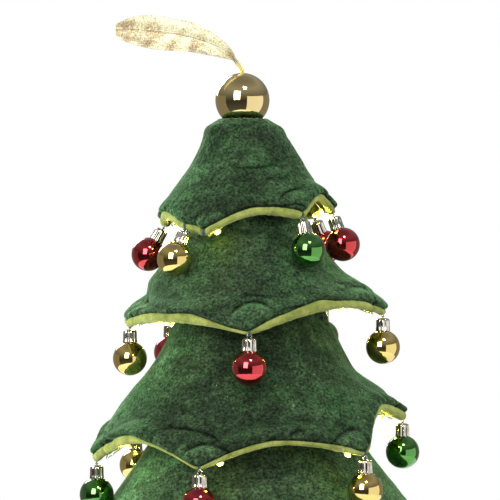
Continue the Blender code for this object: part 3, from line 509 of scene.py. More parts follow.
def folds(number, tier, degrees, z):
    """How the creases go in, and how the cloth below them stands out (mm), with painted shade along each crease
    and painted light on the cloth below it.
    """
    out, crush = np.zeros_like(z), np.zeros_like(z)
    mm_per_degree = math.pi / 180 * float(tier["hem_r"].mean()) * 1000
    flat = np.stack((away_from(0, degrees) * mm_per_degree, z * 1000), -1)
    for pixels, depth, half, raised in CREASES[number]:
        places = [to_column(tier, pixel) for pixel in pixels]
        line = [np.array((angle * mm_per_degree, height * 1000)) for angle, height in places]
        distance, side, along = near_line(flat, line)
        ends = np.clip(np.minimum(along, 1 - along) * 4, 0, 1)
        # Steep where the cloth above hangs over it, gentle on the lit side below
        reach = np.where(side < 0, half * 1.5, half * 0.9)
        below = np.where(side < 0, 1.0, 0.45)
        out -= depth * 1.25 * ends * np.exp(-((distance / reach) ** 2))
        out += raised * ends * below * np.exp(-(((distance - 3.6) / 2.6) ** 2))
        # Painted shade along the crease, and painted light on the cloth that stands out below it
        crush += np.exp(-((distance / 1.0) ** 2)) * ends * min(depth / 1.1, 1)
        crush -= 0.42 * raised * ends * (side < 0) * np.exp(-(((distance - 4.6) / 3.4) ** 2))
    return out, crush


def swell(number, tier, degrees, z):
    """How far the filled velvet stands out from its plain outline (mm), and its painted shading: above 0 painted
    shade, below 0 painted light.
    """
    out, crush = (a + b for a, b in zip(lobes(number, tier, degrees, z), folds(number, tier, degrees, z)))
    for angle, height, turn, tall, amount in FULLER[number]:
        out += amount * np.exp(-((away_from(angle, degrees) / turn) ** 2) - ((z - height) / tall) ** 2)
    # Loose swelling and small unevenness in the filling, with painted shade in its hollows
    for cell in np.ndindex(z.shape):
        turn = math.radians(degrees[cell])
        spot = Vector((math.sin(turn) * 0.1, -math.cos(turn) * 0.1, z[cell]))
        ridge = noise.noise(Vector((spot.x * 60, spot.y * 60, spot.z * 95)) + Vector((0, number * 5.0, 0)))
        loose = noise.noise(spot * 24 + Vector((number * 7.0, 0, 0)))
        out[cell] += 0.9 * loose + 0.55 * ridge + 0.12 * noise.noise(spot * 230)
        crush[cell] += 0.25 * max(0.0, -ridge - 0.25)
    # The edge turns under towards the seam, with painted shade in the groove there
    above = (z - z[-1:]) * 1000
    out -= 1.9 * np.clip(1 - above / 3.4, 0, 1) ** 2.4
    crush += 0.9 * np.clip(1 - above / 2.2, 0, 1) ** 2
    return out, np.clip(crush + TIER_TONE[number], -1.1, 1)


def mesh_rows(name, rows, closed=False):
    """Skin rows of points round the tree. A row of one point closes an end."""
    count = max(len(row) for row in rows)
    points, starts = [], []
    for row in rows:
        starts.append(len(points))
        points.extend(tuple(p) for p in row)
    faces = []
    pairs = list(zip(range(len(rows)), range(1, len(rows))))
    if closed:
        pairs.append((len(rows) - 1, 0))
    for a, b in pairs:
        for i in range(count):
            j = (i + 1) % count
            if len(rows[a]) == 1:
                faces.append((starts[a], starts[b] + i, starts[b] + j))
            elif len(rows[b]) == 1:
                faces.append((starts[a] + i, starts[b], starts[a] + j))
            else:
                faces.append((starts[a] + i, starts[b] + i, starts[b] + j, starts[a] + j))
    mesh = bpy.data.meshes.new(name)
    mesh.from_pydata(points, [], faces)
    return mesh


def place(name, mesh, material, body, slot):
    """Put a finished mesh in the scene, riding on a body."""
    bm = bmesh.new()
    bm.from_mesh(mesh)
    bmesh.ops.recalc_face_normals(bm, faces=bm.faces[:])
    bm.to_mesh(mesh)
    bm.free()
    mesh.materials.clear()
    mesh.materials.append(material)
    mesh.shade_smooth()
    piece = linked(name, mesh)
    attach(piece, body)
    return piece


# The cloth simulation: its grid, the cover's spare size, pressure, stiffness and cap
SIM_COLUMNS, SIM_ROWS, SIM_FRAMES = 180, 28, 20
SPARE_SIZE, PRESSURE, STIFFNESS, PUFF_CAP = 0.04, 40, 8, 0.0026


def filled_out(name, radius, z):
    """How far the filling presses each point of the cover out, by a cloth simulation.

    A coarse cover, cut a little too large and sewn down along its neck and hem, is
    pressed from inside. Each level's mean is taken off, which keeps the outline.
    """
    picked = np.linspace(0, OUTER_ROWS - 1, SIM_ROWS).round().astype(int)
    step = COLUMNS // SIM_COLUMNS
    cover = linked(name, mesh_rows(name, polar(radius, DEGREES[None, :], z)[picked][:, ::step]))
    sewn = cover.vertex_groups.new(name="sewn")
    hem = (SIM_ROWS - 1) * SIM_COLUMNS
    sewn.add([*range(SIM_COLUMNS), *range(hem, hem + SIM_COLUMNS)], 1.0, "REPLACE")
    filling = cover.modifiers.new("filling", "CLOTH").settings
    filling.use_pressure, filling.uniform_pressure_force = True, PRESSURE
    filling.vertex_group_mass, filling.shrink_min = "sewn", -SPARE_SIZE
    filling.tension_stiffness = filling.compression_stiffness = STIFFNESS
    filling.quality, filling.effector_weights.gravity = 4, 0
    for moment in range(1, SIM_FRAMES + 1):
        bpy.context.scene.frame_set(moment)
    ends = cover.evaluated_get(bpy.context.evaluated_depsgraph_get()).data.vertices
    ends = np.array([vert.co for vert in ends]).reshape(SIM_ROWS, SIM_COLUMNS, 3)
    bpy.data.objects.remove(cover)
    bpy.context.scene.frame_set(1)
    out = np.hypot(ends[..., 0] - lean(ends[..., 2]), ends[..., 1]) - radius[picked][:, ::step]
    out = np.clip(out - out.mean(axis=1, keepdims=True), -PUFF_CAP, PUFF_CAP)
    wide = np.array([np.interp(DEGREES, DEGREES[::step], row, period=360) for row in out])
    return np.array([np.interp(np.arange(OUTER_ROWS), picked, column) for column in wide.T]).T


# Baubles that the cloth must make room for: ball centres and radius
BALL_R = 0.0125
balls = {}
for name in frame["nodes"]:
    if name.startswith("bauble_ball_"):
        low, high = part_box(name)
        balls[name[-2:]] = (Vector(low) + Vector(high)) / 2


def dent(points, number):
    """Press the cloth in where a bauble of the tier above lies on it."""
    clear, soft, soft_reach = 0.0007, 0.0004, 0.004
    for key, centre in balls.items():
        if int(key[0]) == number - 1:
            offset = points - np.array(centre)
            deep = BALL_R + clear - np.linalg.norm(offset, axis=-1)
            push = np.clip(deep, 0, None) + soft * np.exp(-((deep / soft_reach) ** 2))
            points = points + offset / np.linalg.norm(offset, axis=-1)[..., None] * push[..., None]
    return points


for number, tier in TIERS.items():
    tier["outline"] = outline(tier)
    tier["hem_z"], tier["hem_r"] = hem_line(tier)
    angles, shares = zip(*ROLL_FULL[number])
    signed = np.where(DEGREES > 180, DEGREES - 360, DEGREES)
    tier["full"] = soften(np.interp(signed, angles, shares, period=360), 4, True)
    edge = tier["hem_z"] + BEAD_H * tier["full"]
    z = tier["top"] + (edge[None, :] - tier["top"]) * LEVELS[:, None] ** 0.85
    degrees = np.broadcast_to(DEGREES[None, :], z.shape)
    radius = plain_radius(tier, z, tier["hem_z"][None, :], tier["hem_r"][None, :])
    # No swelling where the tier starts, out of sight under the one above
    fade = np.clip((tier["top"] - z) / (TOP_FADE_H if number == 1 else FADE_H), 0, 1) ** 1.5
    extra, tier["crush"] = swell(number, tier, degrees, z)
    extra = (extra / 1000 + filled_out(f"cover_{number}", radius, z)) * fade
    tier["z"], tier["radius"] = z, radius + extra
    # The cloth's back bridges the creases: the least radius nearby
    low = tier["radius"].copy()
    for shift in (-4, -2, 2, 4):
        low = np.minimum(low, np.roll(tier["radius"], shift, axis=1))
    for shift in (2, 4):
        low[shift:] = np.minimum(low[shift:], low[:-shift])
        low[:-shift] = np.minimum(low[:-shift], low[shift:])
    tier["inside"] = low


def times(tree, colour, by):
    """A colour multiplied by a colour or a value."""
    sockets = {0: 1.0, 6: colour, 7: by}
    return add(tree, "Mix", sockets, data_type="RGBA", blend_type="MULTIPLY").outputs[2]


def raised(tree, height, strength, distance, over=None):
    """A bump from a height, over another bump."""
    sockets = {"Height": height, "Strength": strength, "Distance": distance}
    if over is not None:
        sockets["Normal"] = over
    return add(tree, "Bump", sockets).outputs[0]


PILE_VALUES = ("Scale", "Detail", "Roughness", "Distortion", "Low", "High", "Dark", "Bright", "Strength",
               "Distance")


def pile_group():
    """The cut pile of velvet, felt and plush: fine grain speckles the colour and lifts a nap."""
    group = bpy.data.node_groups.new("cut_pile", "ShaderNodeTree")
    for name, kind in (("Vector", "Vector"), ("Color", "Color"), *((name, "Float") for name in PILE_VALUES)):
        group.interface.new_socket(name, in_out="INPUT", socket_type="NodeSocket" + kind)
    for name, kind in (("Color", "Color"), ("Normal", "Vector")):
        group.interface.new_socket(name, in_out="OUTPUT", socket_type="NodeSocket" + kind)
    given = group.nodes.new("NodeGroupInput").outputs
    grain = mottle(group, *(given[key] for key in ("Vector", "Scale", "Detail", "Roughness", "Distortion")))
    speckle = stretch(group, grain, *(given[key] for key in ("Dark", "Bright", "Low", "High")))
    made = group.nodes.new("NodeGroupOutput")
    nap = raised(group, grain, given["Strength"], given["Distance"])
    fill(group, made, {"Color": times(group, given["Color"], speckle), "Normal": nap})
    return group


CUT_PILE = pile_group()


def pile(tree, spot, colour, grain, speckle, nap):
    """The pile group in a material: grain is scale, detail, roughness and distortion,
    speckle the grain's low and high and what they do to the colour, and nap its bump."""
    sockets = {"Vector": spot, "Color": colour, **dict(zip(PILE_VALUES, (*grain, *speckle, *nap)))}
    return add(tree, "Group", sockets, node_tree=CUT_PILE).outputs


def velvet_material():
    """Dark green velvet: pile brushed into patches, with painted shade in its creases and grooves, painted light
    on its puffs, and a painted sheen towards its outline.
    """
    material, tree, surface, spot = new_material("crushed_velvet")
    # Painted shade and painted light, read from the shading attribute on the cloth
    crush = add(tree, "Attribute", attribute_name="crush").outputs["Fac"]
    brushed = add(tree, "Mapping", {"Vector": spot, "Scale": (1.0, 1.0, 1.7)}).outputs["Vector"]
    patches = mottle(tree, brushed, 34.0, 5.0, 0.62, 0.8)
    strokes = mottle(tree, brushed, 170.0, 4.0, 0.75, 0.2)
    both = maths(tree, "MULTIPLY_ADD", patches, 0.55, maths(tree, "MULTIPLY", strokes, 0.45))
    deep, middle, light = (0.0088, 0.0150, 0.0080), (0.0165, 0.0310, 0.0142), (0.032, 0.059, 0.027)
    tone = ramp(tree, both, (0.38, deep), (0.50, middle), (0.62, light))
    grain = pile(tree, spot, tone, (560.0, 1.0, 0.6, 0.5), (0.34, 0.70, 0.42, 2.0), (0.8, 0.0008))
    drifts = mottle(tree, spot, 17.0, 2.0, 0.6)
    drift = ramp(tree, drifts, (0.36, (0.84, 0.80, 0.86)), (0.50, grey(1.0)), (0.64, (1.18, 1.38, 1.25)))
    # Painted shade darkens the colour where the shading is above 0, and painted light lightens it where the
    # shading is below 0
    colour = times(tree, times(tree, grain["Color"], drift), maths(tree, "MULTIPLY_ADD", crush, -0.84, 1.0))
    # A few specks of lint
    dots = add(tree, "TexVoronoi", {"Vector": spot, "Scale": 130.0})
    picked = add(tree, "SeparateColor", {"Color": dots.outputs["Color"]}).outputs[0]
    few = maths(tree, "GREATER_THAN", picked, 0.93)
    small = maths(tree, "LESS_THAN", dots.outputs["Distance"], 0.05)
    lint = {0: maths(tree, "MULTIPLY", few, small), 6: colour, 7: (0.30, 0.36, 0.28, 1)}
    colour = add(tree, "Mix", lint, data_type="RGBA").outputs[2]
    # Painted sheen: the colour is darker where the pile is seen face on and lighter where it is seen from its side
    painted_sheen_facing = add(tree, "LayerWeight", {"Blend": 0.5}).outputs["Facing"]
    edges = ((0.25, (0.50, 0.53, 0.50)), (0.5, (0.64, 0.74, 0.66)), (0.9, (0.70, 0.82, 0.72)))
    colour = times(tree, colour, ramp(tree, painted_sheen_facing, (0.05, grey(0.46)), *edges))
    fill(tree, surface, {
        "Base Color": add(tree, "VectorMath", {0: colour, 1: (2, 2, 2)}, operation="MULTIPLY").outputs[0],
        "Roughness": stretch(tree, both, 0.95, 0.78), "Specular IOR Level": 0.1,
        "Sheen Weight": 0.50, "Sheen Roughness": 0.24, "Sheen Tint": (0.48, 0.95, 0.45, 1),
        "Normal": raised(tree, both, 0.6, 0.0022, grain["Normal"]),
    })
    return material


velvet = velvet_material()
TOP_BALL_R, TOP_BALL_Z = 0.020, 0.4206
SEAT_R = TOP_BALL_R + 3 * GAP
BALL_CENTRE = np.array((float(lean(TOP_BALL_Z)), 0, TOP_BALL_Z))
LIP_TUCK = 0.0011
COLLAR = ((0.0152, 0.4051), (0.0161, 0.4061), (0.0172, 0.4064), (0.0183, 0.4063))  # radius and height
PLEAT_H, SMALL_PLEAT_H = 0.00022, 0.00018
for number, tier in TIERS.items():
    outside = dent(polar(tier["radius"], DEGREES[None, :], tier["z"]), number)
    # A rolled lip, then the cloth's back up to the neck
    edge_z, edge_r = tier["z"][-1], tier["radius"][-1]
    lip = [
        polar(edge_r - VELVET_T * 0.5 * (1 - math.cos(t)), DEGREES, edge_z - LIP_TUCK * math.sin(t))
        for t in (math.pi * k / 5 for k in range(1, 5))
    ]
    back = []
    for row in range(OUTER_ROWS - 1, -1, -6):
        back.append(polar(tier["inside"][row] - VELVET_T * 0.9, DEGREES, tier["z"][row] + 0 * DEGREES))
    name = f"velvet_tier_{number}_cloth"
    if number == 1:
        # A gathered collar round the ball, and the dimple that it sits in
        turns = np.radians(DEGREES)
        pleat = PLEAT_H * np.sin(turns * 23) + SMALL_PLEAT_H * np.sin(turns * 37 + 1)
        crown = [polar(r + 0 * DEGREES, DEGREES, z + pleat * (k > 0)) for k, (r, z) in enumerate(COLLAR)]
        dimple = [[BALL_CENTRE - np.array((0, 0, SEAT_R))]]
        for t in np.radians((10, 20, 30, 40)):
            r, z = SEAT_R * math.sin(t), TOP_BALL_Z - SEAT_R * math.cos(t)
            dimple.append(polar(r + 0 * DEGREES, DEGREES, z))
        under = [[BALL_CENTRE - np.array((0, 0, SEAT_R + VELVET_T))]]
        mesh = mesh_rows(name, dimple + crown + list(outside[1:]) + lip + back[:-1] + under)
        first, start = 1, 1 + (len(dimple) + len(crown) - 1) * COLUMNS
    else:
        first, start = 0, 0
        mesh = mesh_rows(name, list(outside) + lip + back, closed=True)
    # The painted shade and painted light go on the cloth's outer rows as a point attribute
    painted_shading_values = np.zeros(len(mesh.vertices))
    painted_shading_values[start : start + tier["crush"][first:].size] = tier["crush"][first:].ravel()
    mesh.attributes.new("crush", "FLOAT", "POINT").data.foreach_set("value", painted_shading_values)
    cloth = place(name, mesh, velvet, "tree", "velvet_green")
    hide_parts(f"velvet_tier_{number}")


# Hem linings
# Light green felt. It closes the underside of each tier, is sewn up inside the
# velvet's flap, and comes out below the hem as a soft roll.
LINING_GAP, LINING_T, SAG_H = 0.00045, 0.0016, 0.0006
BEAD_W, BEAD_INSET, LUMP_H, SMALL_LUMP_H = 0.0062, 0.0008, 0.00042, 0.00020
ROLL_POINTS, ROLL_FROM, ROLL_TURN, ROLL_OUT = 14, 62, 268, 0.0012
STITCH_SPREAD = 0.0019


def lining_material():
    """Short fuzzy felt, a little uneven in colour."""
    material, tree, surface, spot = new_material("lining_felt")
    uneven = mottle(tree, spot, 85.0, 4.0, 0.65)
    tangled = {"Vector": spot, "Scale": 260.0, "Distortion": 9.0, "Detail": 3.0, "Detail Scale": 3.0}
    hairs = add(tree, "TexWave", tangled).outputs["Fac"]
    deep, middle, light = (0.112, 0.138, 0.026), (0.190, 0.220, 0.047), (0.275, 0.300, 0.081)
    tone = ramp(tree, uneven, (0.34, deep), (0.52, middle), (0.68, light))
    fluff = pile(tree, spot, tone, (900.0, 3.0, 0.75, 0.6), (0.3, 0.7, 0.78, 1.22), (0.6, 0.0006))
    fill(tree, surface, {
        "Base Color": fluff["Color"],
        "Roughness": stretch(tree, uneven, 0.95, 0.82), "Specular IOR Level": 0.2,
        "Sheen Weight": 0.35, "Sheen Roughness": 0.5, "Sheen Tint": (0.75, 0.9, 0.45, 1),
        "Normal": raised(tree, hairs, 0.25, 0.0004, fluff["Normal"]),
    })
    return material


def flap(tier, roof_top, share, inset):
    """A row on the flap between the roof and the hem, set in from the velvet."""
    z = roof_top + (tier["z"][-1] - roof_top) * share
    radius = np.empty_like(z)
    for i in range(COLUMNS):
        radius[i] = np.interp(-z[i], -tier["z"][:, i], tier["inside"][:, i])
    return polar(radius - inset, DEGREES, z)


felt = lining_material()
for number, tier in TIERS.items():
    below_z, below_r = tier["below"]
    hole = below_r - tier["wall"] + GAP
    roof_low, roof_top = below_z + GAP, below_z + GAP + LINING_T
    # The roll: an upright oval whose foot is the hem line, a little uneven, and
    # narrower where a stitch is pulled tight round it
    tight = np.ones(COLUMNS)
    for angle, *_ in tier["tips"]:
        across = away_from(angle, DEGREES) * math.pi / 180 * tier["tip_r"]
        tight -= 0.24 * np.exp(-((across / STITCH_SPREAD) ** 2))
    half = BEAD_W / 2 * (0.75 + 0.25 * tier["full"])
    wide, tall = half * tight, BEAD_H * 0.56 * tier["full"] * tight
    middle_z = tier["hem_z"] + BEAD_H * tier["full"] * (0.5 + 0.56 * (1 - tight))
    middle_r = tier["radius"][-1] + ROLL_OUT - BEAD_INSET - half
    tier["roll"] = (middle_r, middle_z, wide, tall)
    roll = []
    for k in range(ROLL_POINTS + 1):
        lumps = np.zeros(COLUMNS)
        for i, turn in enumerate(np.radians(DEGREES)):
            spot = Vector((math.sin(turn), math.cos(turn), 0)) * 19 + Vector((number * 9.0, k * 0.8, 0))
            lumps[i] = LUMP_H * noise.noise(spot) + SMALL_LUMP_H * noise.noise(spot * 3.1)
        t = math.radians(ROLL_FROM - ROLL_TURN * k / ROLL_POINTS)
        across, up = (1 + lumps / (BEAD_W / 2)) * math.cos(t), (1 + lumps / (BEAD_W / 2)) * math.sin(t)
        roll.append(polar(middle_r + wide * across, DEGREES, middle_z + tall * up))
    set_in = VELVET_T + LINING_GAP
    rows = [polar(hole + 0 * DEGREES, DEGREES, roof_top)]
    rows += [flap(tier, roof_top, share, set_in) for share in (0.0, 0.15, 0.3, 0.45, 0.6, 0.75, 0.88)]
    rows += roll
    rows += [flap(tier, roof_top, share, set_in + LINING_T) for share in (0.86, 0.7, 0.5, 0.3, 0.12, 0.0)]
    inner_r = np.hypot(rows[-1][:, 0] - lean(rows[-1][:, 2]), rows[-1][:, 1])
    # The roof, sagging a little between its edges
    for share in (0.04, 0.3, 0.55, 0.8, 1.0):
        radius = inner_r + (hole - inner_r) * share
        sag = np.zeros(COLUMNS)
        for i, turn in enumerate(np.radians(DEGREES)):
            spot = Vector((math.sin(turn) * radius[i] * 30, math.cos(turn) * radius[i] * 30, number))
            sag[i] = SAG_H * abs(noise.noise(spot)) * (0.1 < share < 0.9)
        rows.append(polar(radius, DEGREES, roof_low - sag))
    name = f"hem_lining_{number}_felt"
    lining = place(name, mesh_rows(name, rows, closed=True), felt, "tree", "lining_green")
    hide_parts(f"hem_lining_{number}")


# Hem stitches
# A few turns of dark thread at every tip, wound round the roll and pulled tight,
# hold the roll up against the velvet.
THREAD_R, THREAD_PITCH = 0.00033, 0.001
TURN_POINTS = 18


def cord_mesh(name, points, radius, closed=False):
    """A round cord along a line of points."""
    curve = bpy.data.curves.new(name, "CURVE")
    curve.dimensions = "3D"
    curve.bevel_depth, curve.bevel_resolution, curve.use_fill_caps = radius, 2, not closed
    line = curve.splines.new("POLY")
    line.points.add(len(points) - 1)
    for point, spot in zip(line.points, points):
        point.co = (*spot, 1)
    line.use_cyclic_u = closed
    cord = linked(name, curve)
    bpy.context.view_layer.update()
    mesh = bpy.data.meshes.new_from_object(cord.evaluated_get(bpy.context.evaluated_depsgraph_get()))
    bpy.data.objects.remove(cord)
    return mesh


def thread_material():
    """Dark blue-green thread of two plies, with slanting ribs."""
    material, tree, surface, spot = new_material("sewing_thread")
    ribs = {"Vector": spot, "Scale": 900.0, "Distortion": 1.5}
    plies = add(tree, "TexWave", ribs, bands_direction="DIAGONAL").outputs["Fac"]
    fill(tree, surface, {
        "Base Color": ramp(tree, plies, (0.2, (0.006, 0.030, 0.030)), (0.8, (0.022, 0.085, 0.075))),
        "Roughness": 0.7, "Sheen Weight": 0.3,
        "Normal": raised(tree, plies, 0.6, 0.0002),
    })
    return material


thread = thread_material()
for number, tier in TIERS.items():
    for index, (angle, *_) in enumerate(tier["tips"]):
        middle_r, middle_z, wide, tall = (values[column_at(angle)] for values in tier["roll"])
        turns = 3 if index % 2 else 4
        points = []
        for k in range(turns * TURN_POINTS + 1):
            t = k / TURN_POINTS - turns / 2
            slide = (0.75 * t + 0.30 * math.sin(t * 5.1 + index)) * THREAD_PITCH / middle_r
            lift = 1 + 0.05 * math.sin(t * 3.7 + number)
            r = middle_r + (wide * lift + THREAD_R * 0.7) * math.cos(t * math.tau)
            z = middle_z + (tall * lift + THREAD_R * 0.7) * math.sin(t * math.tau)
            points.append(tuple(polar(r, angle + math.degrees(slide), z)))
        name = f"hem_stitch_{number}_{index + 1}"
        place(name, cord_mesh(name, points, THREAD_R), thread, "tree", "velvet_green")


# Baubles
# Hollow plastic balls with a vacuum-plated mirror skin, each with a pressed,
# fluted cap, a wire ring and a dark thread tied through the hem tip.
CAP_R, CAP_H, CAP_SINK, CAP_LIFT = 0.0047, 0.0086, 0.0012, 0.0004
CAP_SHEET, CLAW_H, FLUTES = 0.00025, 0.0004, 11
RING_R, RING_WIRE_R = 0.0016, 0.0004
BAUBLE_DROP, NECK_SHARE = 0.0230, 0.955
LOOP_CORD_R, LOOP_TOP, LOOP_DIP = 0.00034, 0.0010, 0.0011
LOOP_SPREAD, LOOP_WAVE = 0.00075, 0.0003


def mirror_material(name, colour, dark, waviness=0.25):
    """Plated plastic: a thin coloured mirror with faint waves and fine dust."""
    material, tree, surface, spot = new_material(name)
    dust = mottle(tree, spot, 2400.0)
    fill(tree, surface, {
        "Base Color": ramp(tree, mottle(tree, spot, 60.0, 4.0), (0.35, dark), (0.65, colour)),
        "Metallic": 1.0, "Roughness": stretch(tree, dust, 0.045, 0.13, 0.5, 0.8),
        "Coat Weight": 1.0, "Coat Roughness": 0.03, "Coat IOR": 1.62,
        "Normal": raised(tree, mottle(tree, spot, 150.0, 1.0), waviness, 0.0004),
    })
    return material


MIRRORS = {
    "ball_red": mirror_material("mirror_red", (0.68, 0.018, 0.024), (0.54, 0.008, 0.015)),
    "ball_gold": mirror_material("mirror_gold", (0.90, 0.69, 0.21), (0.82, 0.61, 0.17)),
    "ball_green": mirror_material("mirror_green", (0.095, 0.37, 0.040), (0.050, 0.27, 0.026)),
}


def cap_material():
    """Thin pressed metal, silver with a trace of gold, a little stained."""
    material, tree, surface, spot = new_material("cap_metal")
    stains = mottle(tree, spot, 260.0, 4.0)
    fill(tree, surface, {
        "Base Color": ramp(tree, stains, (0.35, (0.62, 0.56, 0.44)), (0.65, (0.86, 0.83, 0.76))),
        "Metallic": 1.0, "Roughness": stretch(tree, stains, 0.10, 0.17),
        "Normal": raised(tree, stains, 0.06, 0.0002),
    })
    return material


cap_metal = cap_material()


def taken(name):
    """The active object's mesh under a new name, with the object removed."""
    piece = bpy.context.object
    mesh = piece.data
    mesh.name = name
    mesh.transform(piece.matrix_world)
    bpy.data.objects.remove(piece)
    return mesh


def pick(kind, test):
    """Select, in edit mode, only the faces or vertices that pass a test."""
    bpy.ops.mesh.select_mode(type=kind)
    bpy.ops.mesh.select_all(action="DESELECT")
    bm = bmesh.from_edit_mesh(bpy.context.object.data)
    for part in bm.faces if kind == "FACE" else bm.verts:
        part.select = test(part.calc_center_median() if kind == "FACE" else part.co)
    bm.select_flush_mode()
    bmesh.update_edit_mesh(bpy.context.object.data)


# The ball, drawn up into a short neck that the cap's claws hold
bpy.ops.mesh.primitive_uv_sphere_add(segments=48, ring_count=28, radius=BALL_R, location=(0, 0, -BAUBLE_DROP))
bpy.ops.object.mode_set(mode="EDIT")
neck_z = BALL_R * NECK_SHARE
pick("VERT", lambda co: co.z > neck_z)
bpy.ops.transform.resize(value=(1, 1, 0.2), center_override=(0, 0, -BAUBLE_DROP + neck_z))
bpy.ops.object.mode_set(mode="OBJECT")
ball_mesh = taken("bauble_ball")

# The cap: a cup with pressed flutes, flared at its foot, domed at its top
cap_z = -BAUBLE_DROP + BALL_R - CAP_SINK + CAP_H / 2 + CAP_LIFT
cup = {"vertices": FLUTES * 6, "radius": CAP_R, "depth": CAP_H}
bpy.ops.mesh.primitive_cylinder_add(**cup, end_fill_type="NGON", location=(0, 0, cap_z))
bpy.ops.object.mode_set(mode="EDIT")
pick("FACE", lambda c: c.z > CAP_H * 0.45)
for inset_share, rise_share in ((0.16, 0.06), (0.42, 0.05)):
    bpy.ops.mesh.inset(thickness=CAP_R * inset_share)
    bpy.ops.transform.translate(value=(0, 0, CAP_H * rise_share))
for cut in (0.30, 0.05, -0.20, -0.42):
    bpy.ops.mesh.select_all(action="SELECT")
    bpy.ops.mesh.bisect(plane_co=(0, 0, cap_z + CAP_H * cut), plane_no=(0, 0, 1))
pick("FACE", lambda c: c.z < -CAP_H * 0.49)
bpy.ops.mesh.delete(type="FACE")
bpy.ops.object.mode_set(mode="OBJECT")
cap = bpy.context.object
for vert in cap.data.vertices:
    if math.hypot(vert.co.x, vert.co.y) > CAP_R * 0.9:
        rise = vert.co.z / CAP_H
        wave = math.cos(math.atan2(vert.co.y, vert.co.x) * FLUTES)
        flute = 1 + (0.085 if rise < 0.35 else 0.04) * wave + (0.07 if rise < -0.4 else 0)
        vert.co.x *= flute
        vert.co.y *= flute
        if rise < -0.45:
            vert.co.z += CLAW_H * wave
skin = cap.modifiers.new("skin", "SOLIDIFY")
skin.thickness, skin.offset = CAP_SHEET, -1
smooth = cap.modifiers.new("smooth", "SUBSURF")
smooth.levels = smooth.render_levels = 1
bpy.ops.object.modifier_apply(modifier="skin")
bpy.ops.object.modifier_apply(modifier="smooth")
cap_mesh = taken("bauble_cap")

# The ring: the wire's round section, spun into a ring that stands across the cap's top
ring_z = cap_z + CAP_H * 0.61 + RING_R * 0.62
bpy.ops.mesh.primitive_circle_add(vertices=8, radius=RING_WIRE_R, location=(RING_R, 0, ring_z))
bpy.ops.object.mode_set(mode="EDIT")
bpy.ops.mesh.spin(steps=28, angle=math.tau, center=(0, 0, ring_z), axis=(0, 1, 0), use_auto_merge=True)
bpy.ops.object.mode_set(mode="OBJECT")
ring_mesh = taken("bauble_ring")

# The thread: a long loop through the ring, and up to the hem
loop_low = ring_z + RING_R - RING_WIRE_R
points = []
for t in np.linspace(0, 1, 33):
    height = loop_low - LOOP_DIP + (LOOP_TOP - loop_low) * (1 - abs(2 * t - 1))
    points.append((LOOP_WAVE * math.sin(t * 19), LOOP_SPREAD * math.sin(math.tau * t), height))
thread_mesh = cord_mesh("bauble_thread", points, LOOP_CORD_R, True)

# The same four pieces at every hem tip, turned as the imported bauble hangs
COLOURS = {row["node"]: row.get("material_slot") for row in frame["record"]["subparts"]}
for joint in frame["joints"]:
    if not joint["name"].startswith("bauble_"):
        continue
    body, pivot = joint["child"], Vector(joint["pos_m"])
    key = body[-2:]
    colour = COLOURS[f"bauble_ball_{key}"]
    down = (balls[key] - pivot).normalized()
    across = Vector(joint["axis"]).normalized()
    turn = Matrix((across, (-down).cross(across), -down)).transposed().to_4x4()
    for name, mesh, finish, slot, node in (
        (f"bauble_ball_{key}_mirror", ball_mesh, MIRRORS[colour], colour, f"bauble_ball_{key}"),
        (f"bauble_cap_{key}_metal", cap_mesh, cap_metal, "cap_silver", f"bauble_cap_{key}"),
        (f"bauble_ring_{key}", ring_mesh, cap_metal, "cap_silver", None),
        (f"bauble_thread_{key}", thread_mesh, thread, "cap_silver", None),
    ):
        copy = mesh.copy()
        copy.transform(Matrix.Translation(pivot) @ turn)
        piece = place(name, copy, finish, body, slot)
        if node:
            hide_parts(node)


# Light string
# Thin lacquered wire, run along the inside of each roll from the battery box up
# to the top hem, with warm drops of clear resin on it.
WIRE_R, DROP_R, DROP_LENGTH = 0.0004, 0.0016, 0.0060
TRUNK_R, TRUNK_H = 0.050, 0.092
WIRE_FROM, WIRE_TO, WIRE_STEP = 184, 536, 4
WIRE_SPACE, SWAY_H, SMALL_SWAY_H = 0.0015, 0.0006, 0.0004
LEAD_SINK, LEAD_UNDER_TOP, LEAD_OUT = 0.0018, 0.012, 0.008
LEAD_BEND = ((0, -0.010), (0.003, -0.003), (0.010, 0))  # out and up, in turn
CLIMB_SPACE, CLIMB_BELOW, CLIMB_OVER = 0.0024, 0.004, 0.002


def wire_place(tier, degrees):
    """Where the wire runs, just inside the roll's foot."""
    hem_z = np.interp(degrees % 360, DEGREES, tier["hem_z"], period=360)
    hem_r = np.interp(degrees % 360, DEGREES, tier["hem_r"], period=360)
    radius = hem_r - BEAD_INSET - BEAD_W - WIRE_SPACE - GAP * 2
    return Vector(polar(radius, degrees, hem_z + BEAD_H / 8))


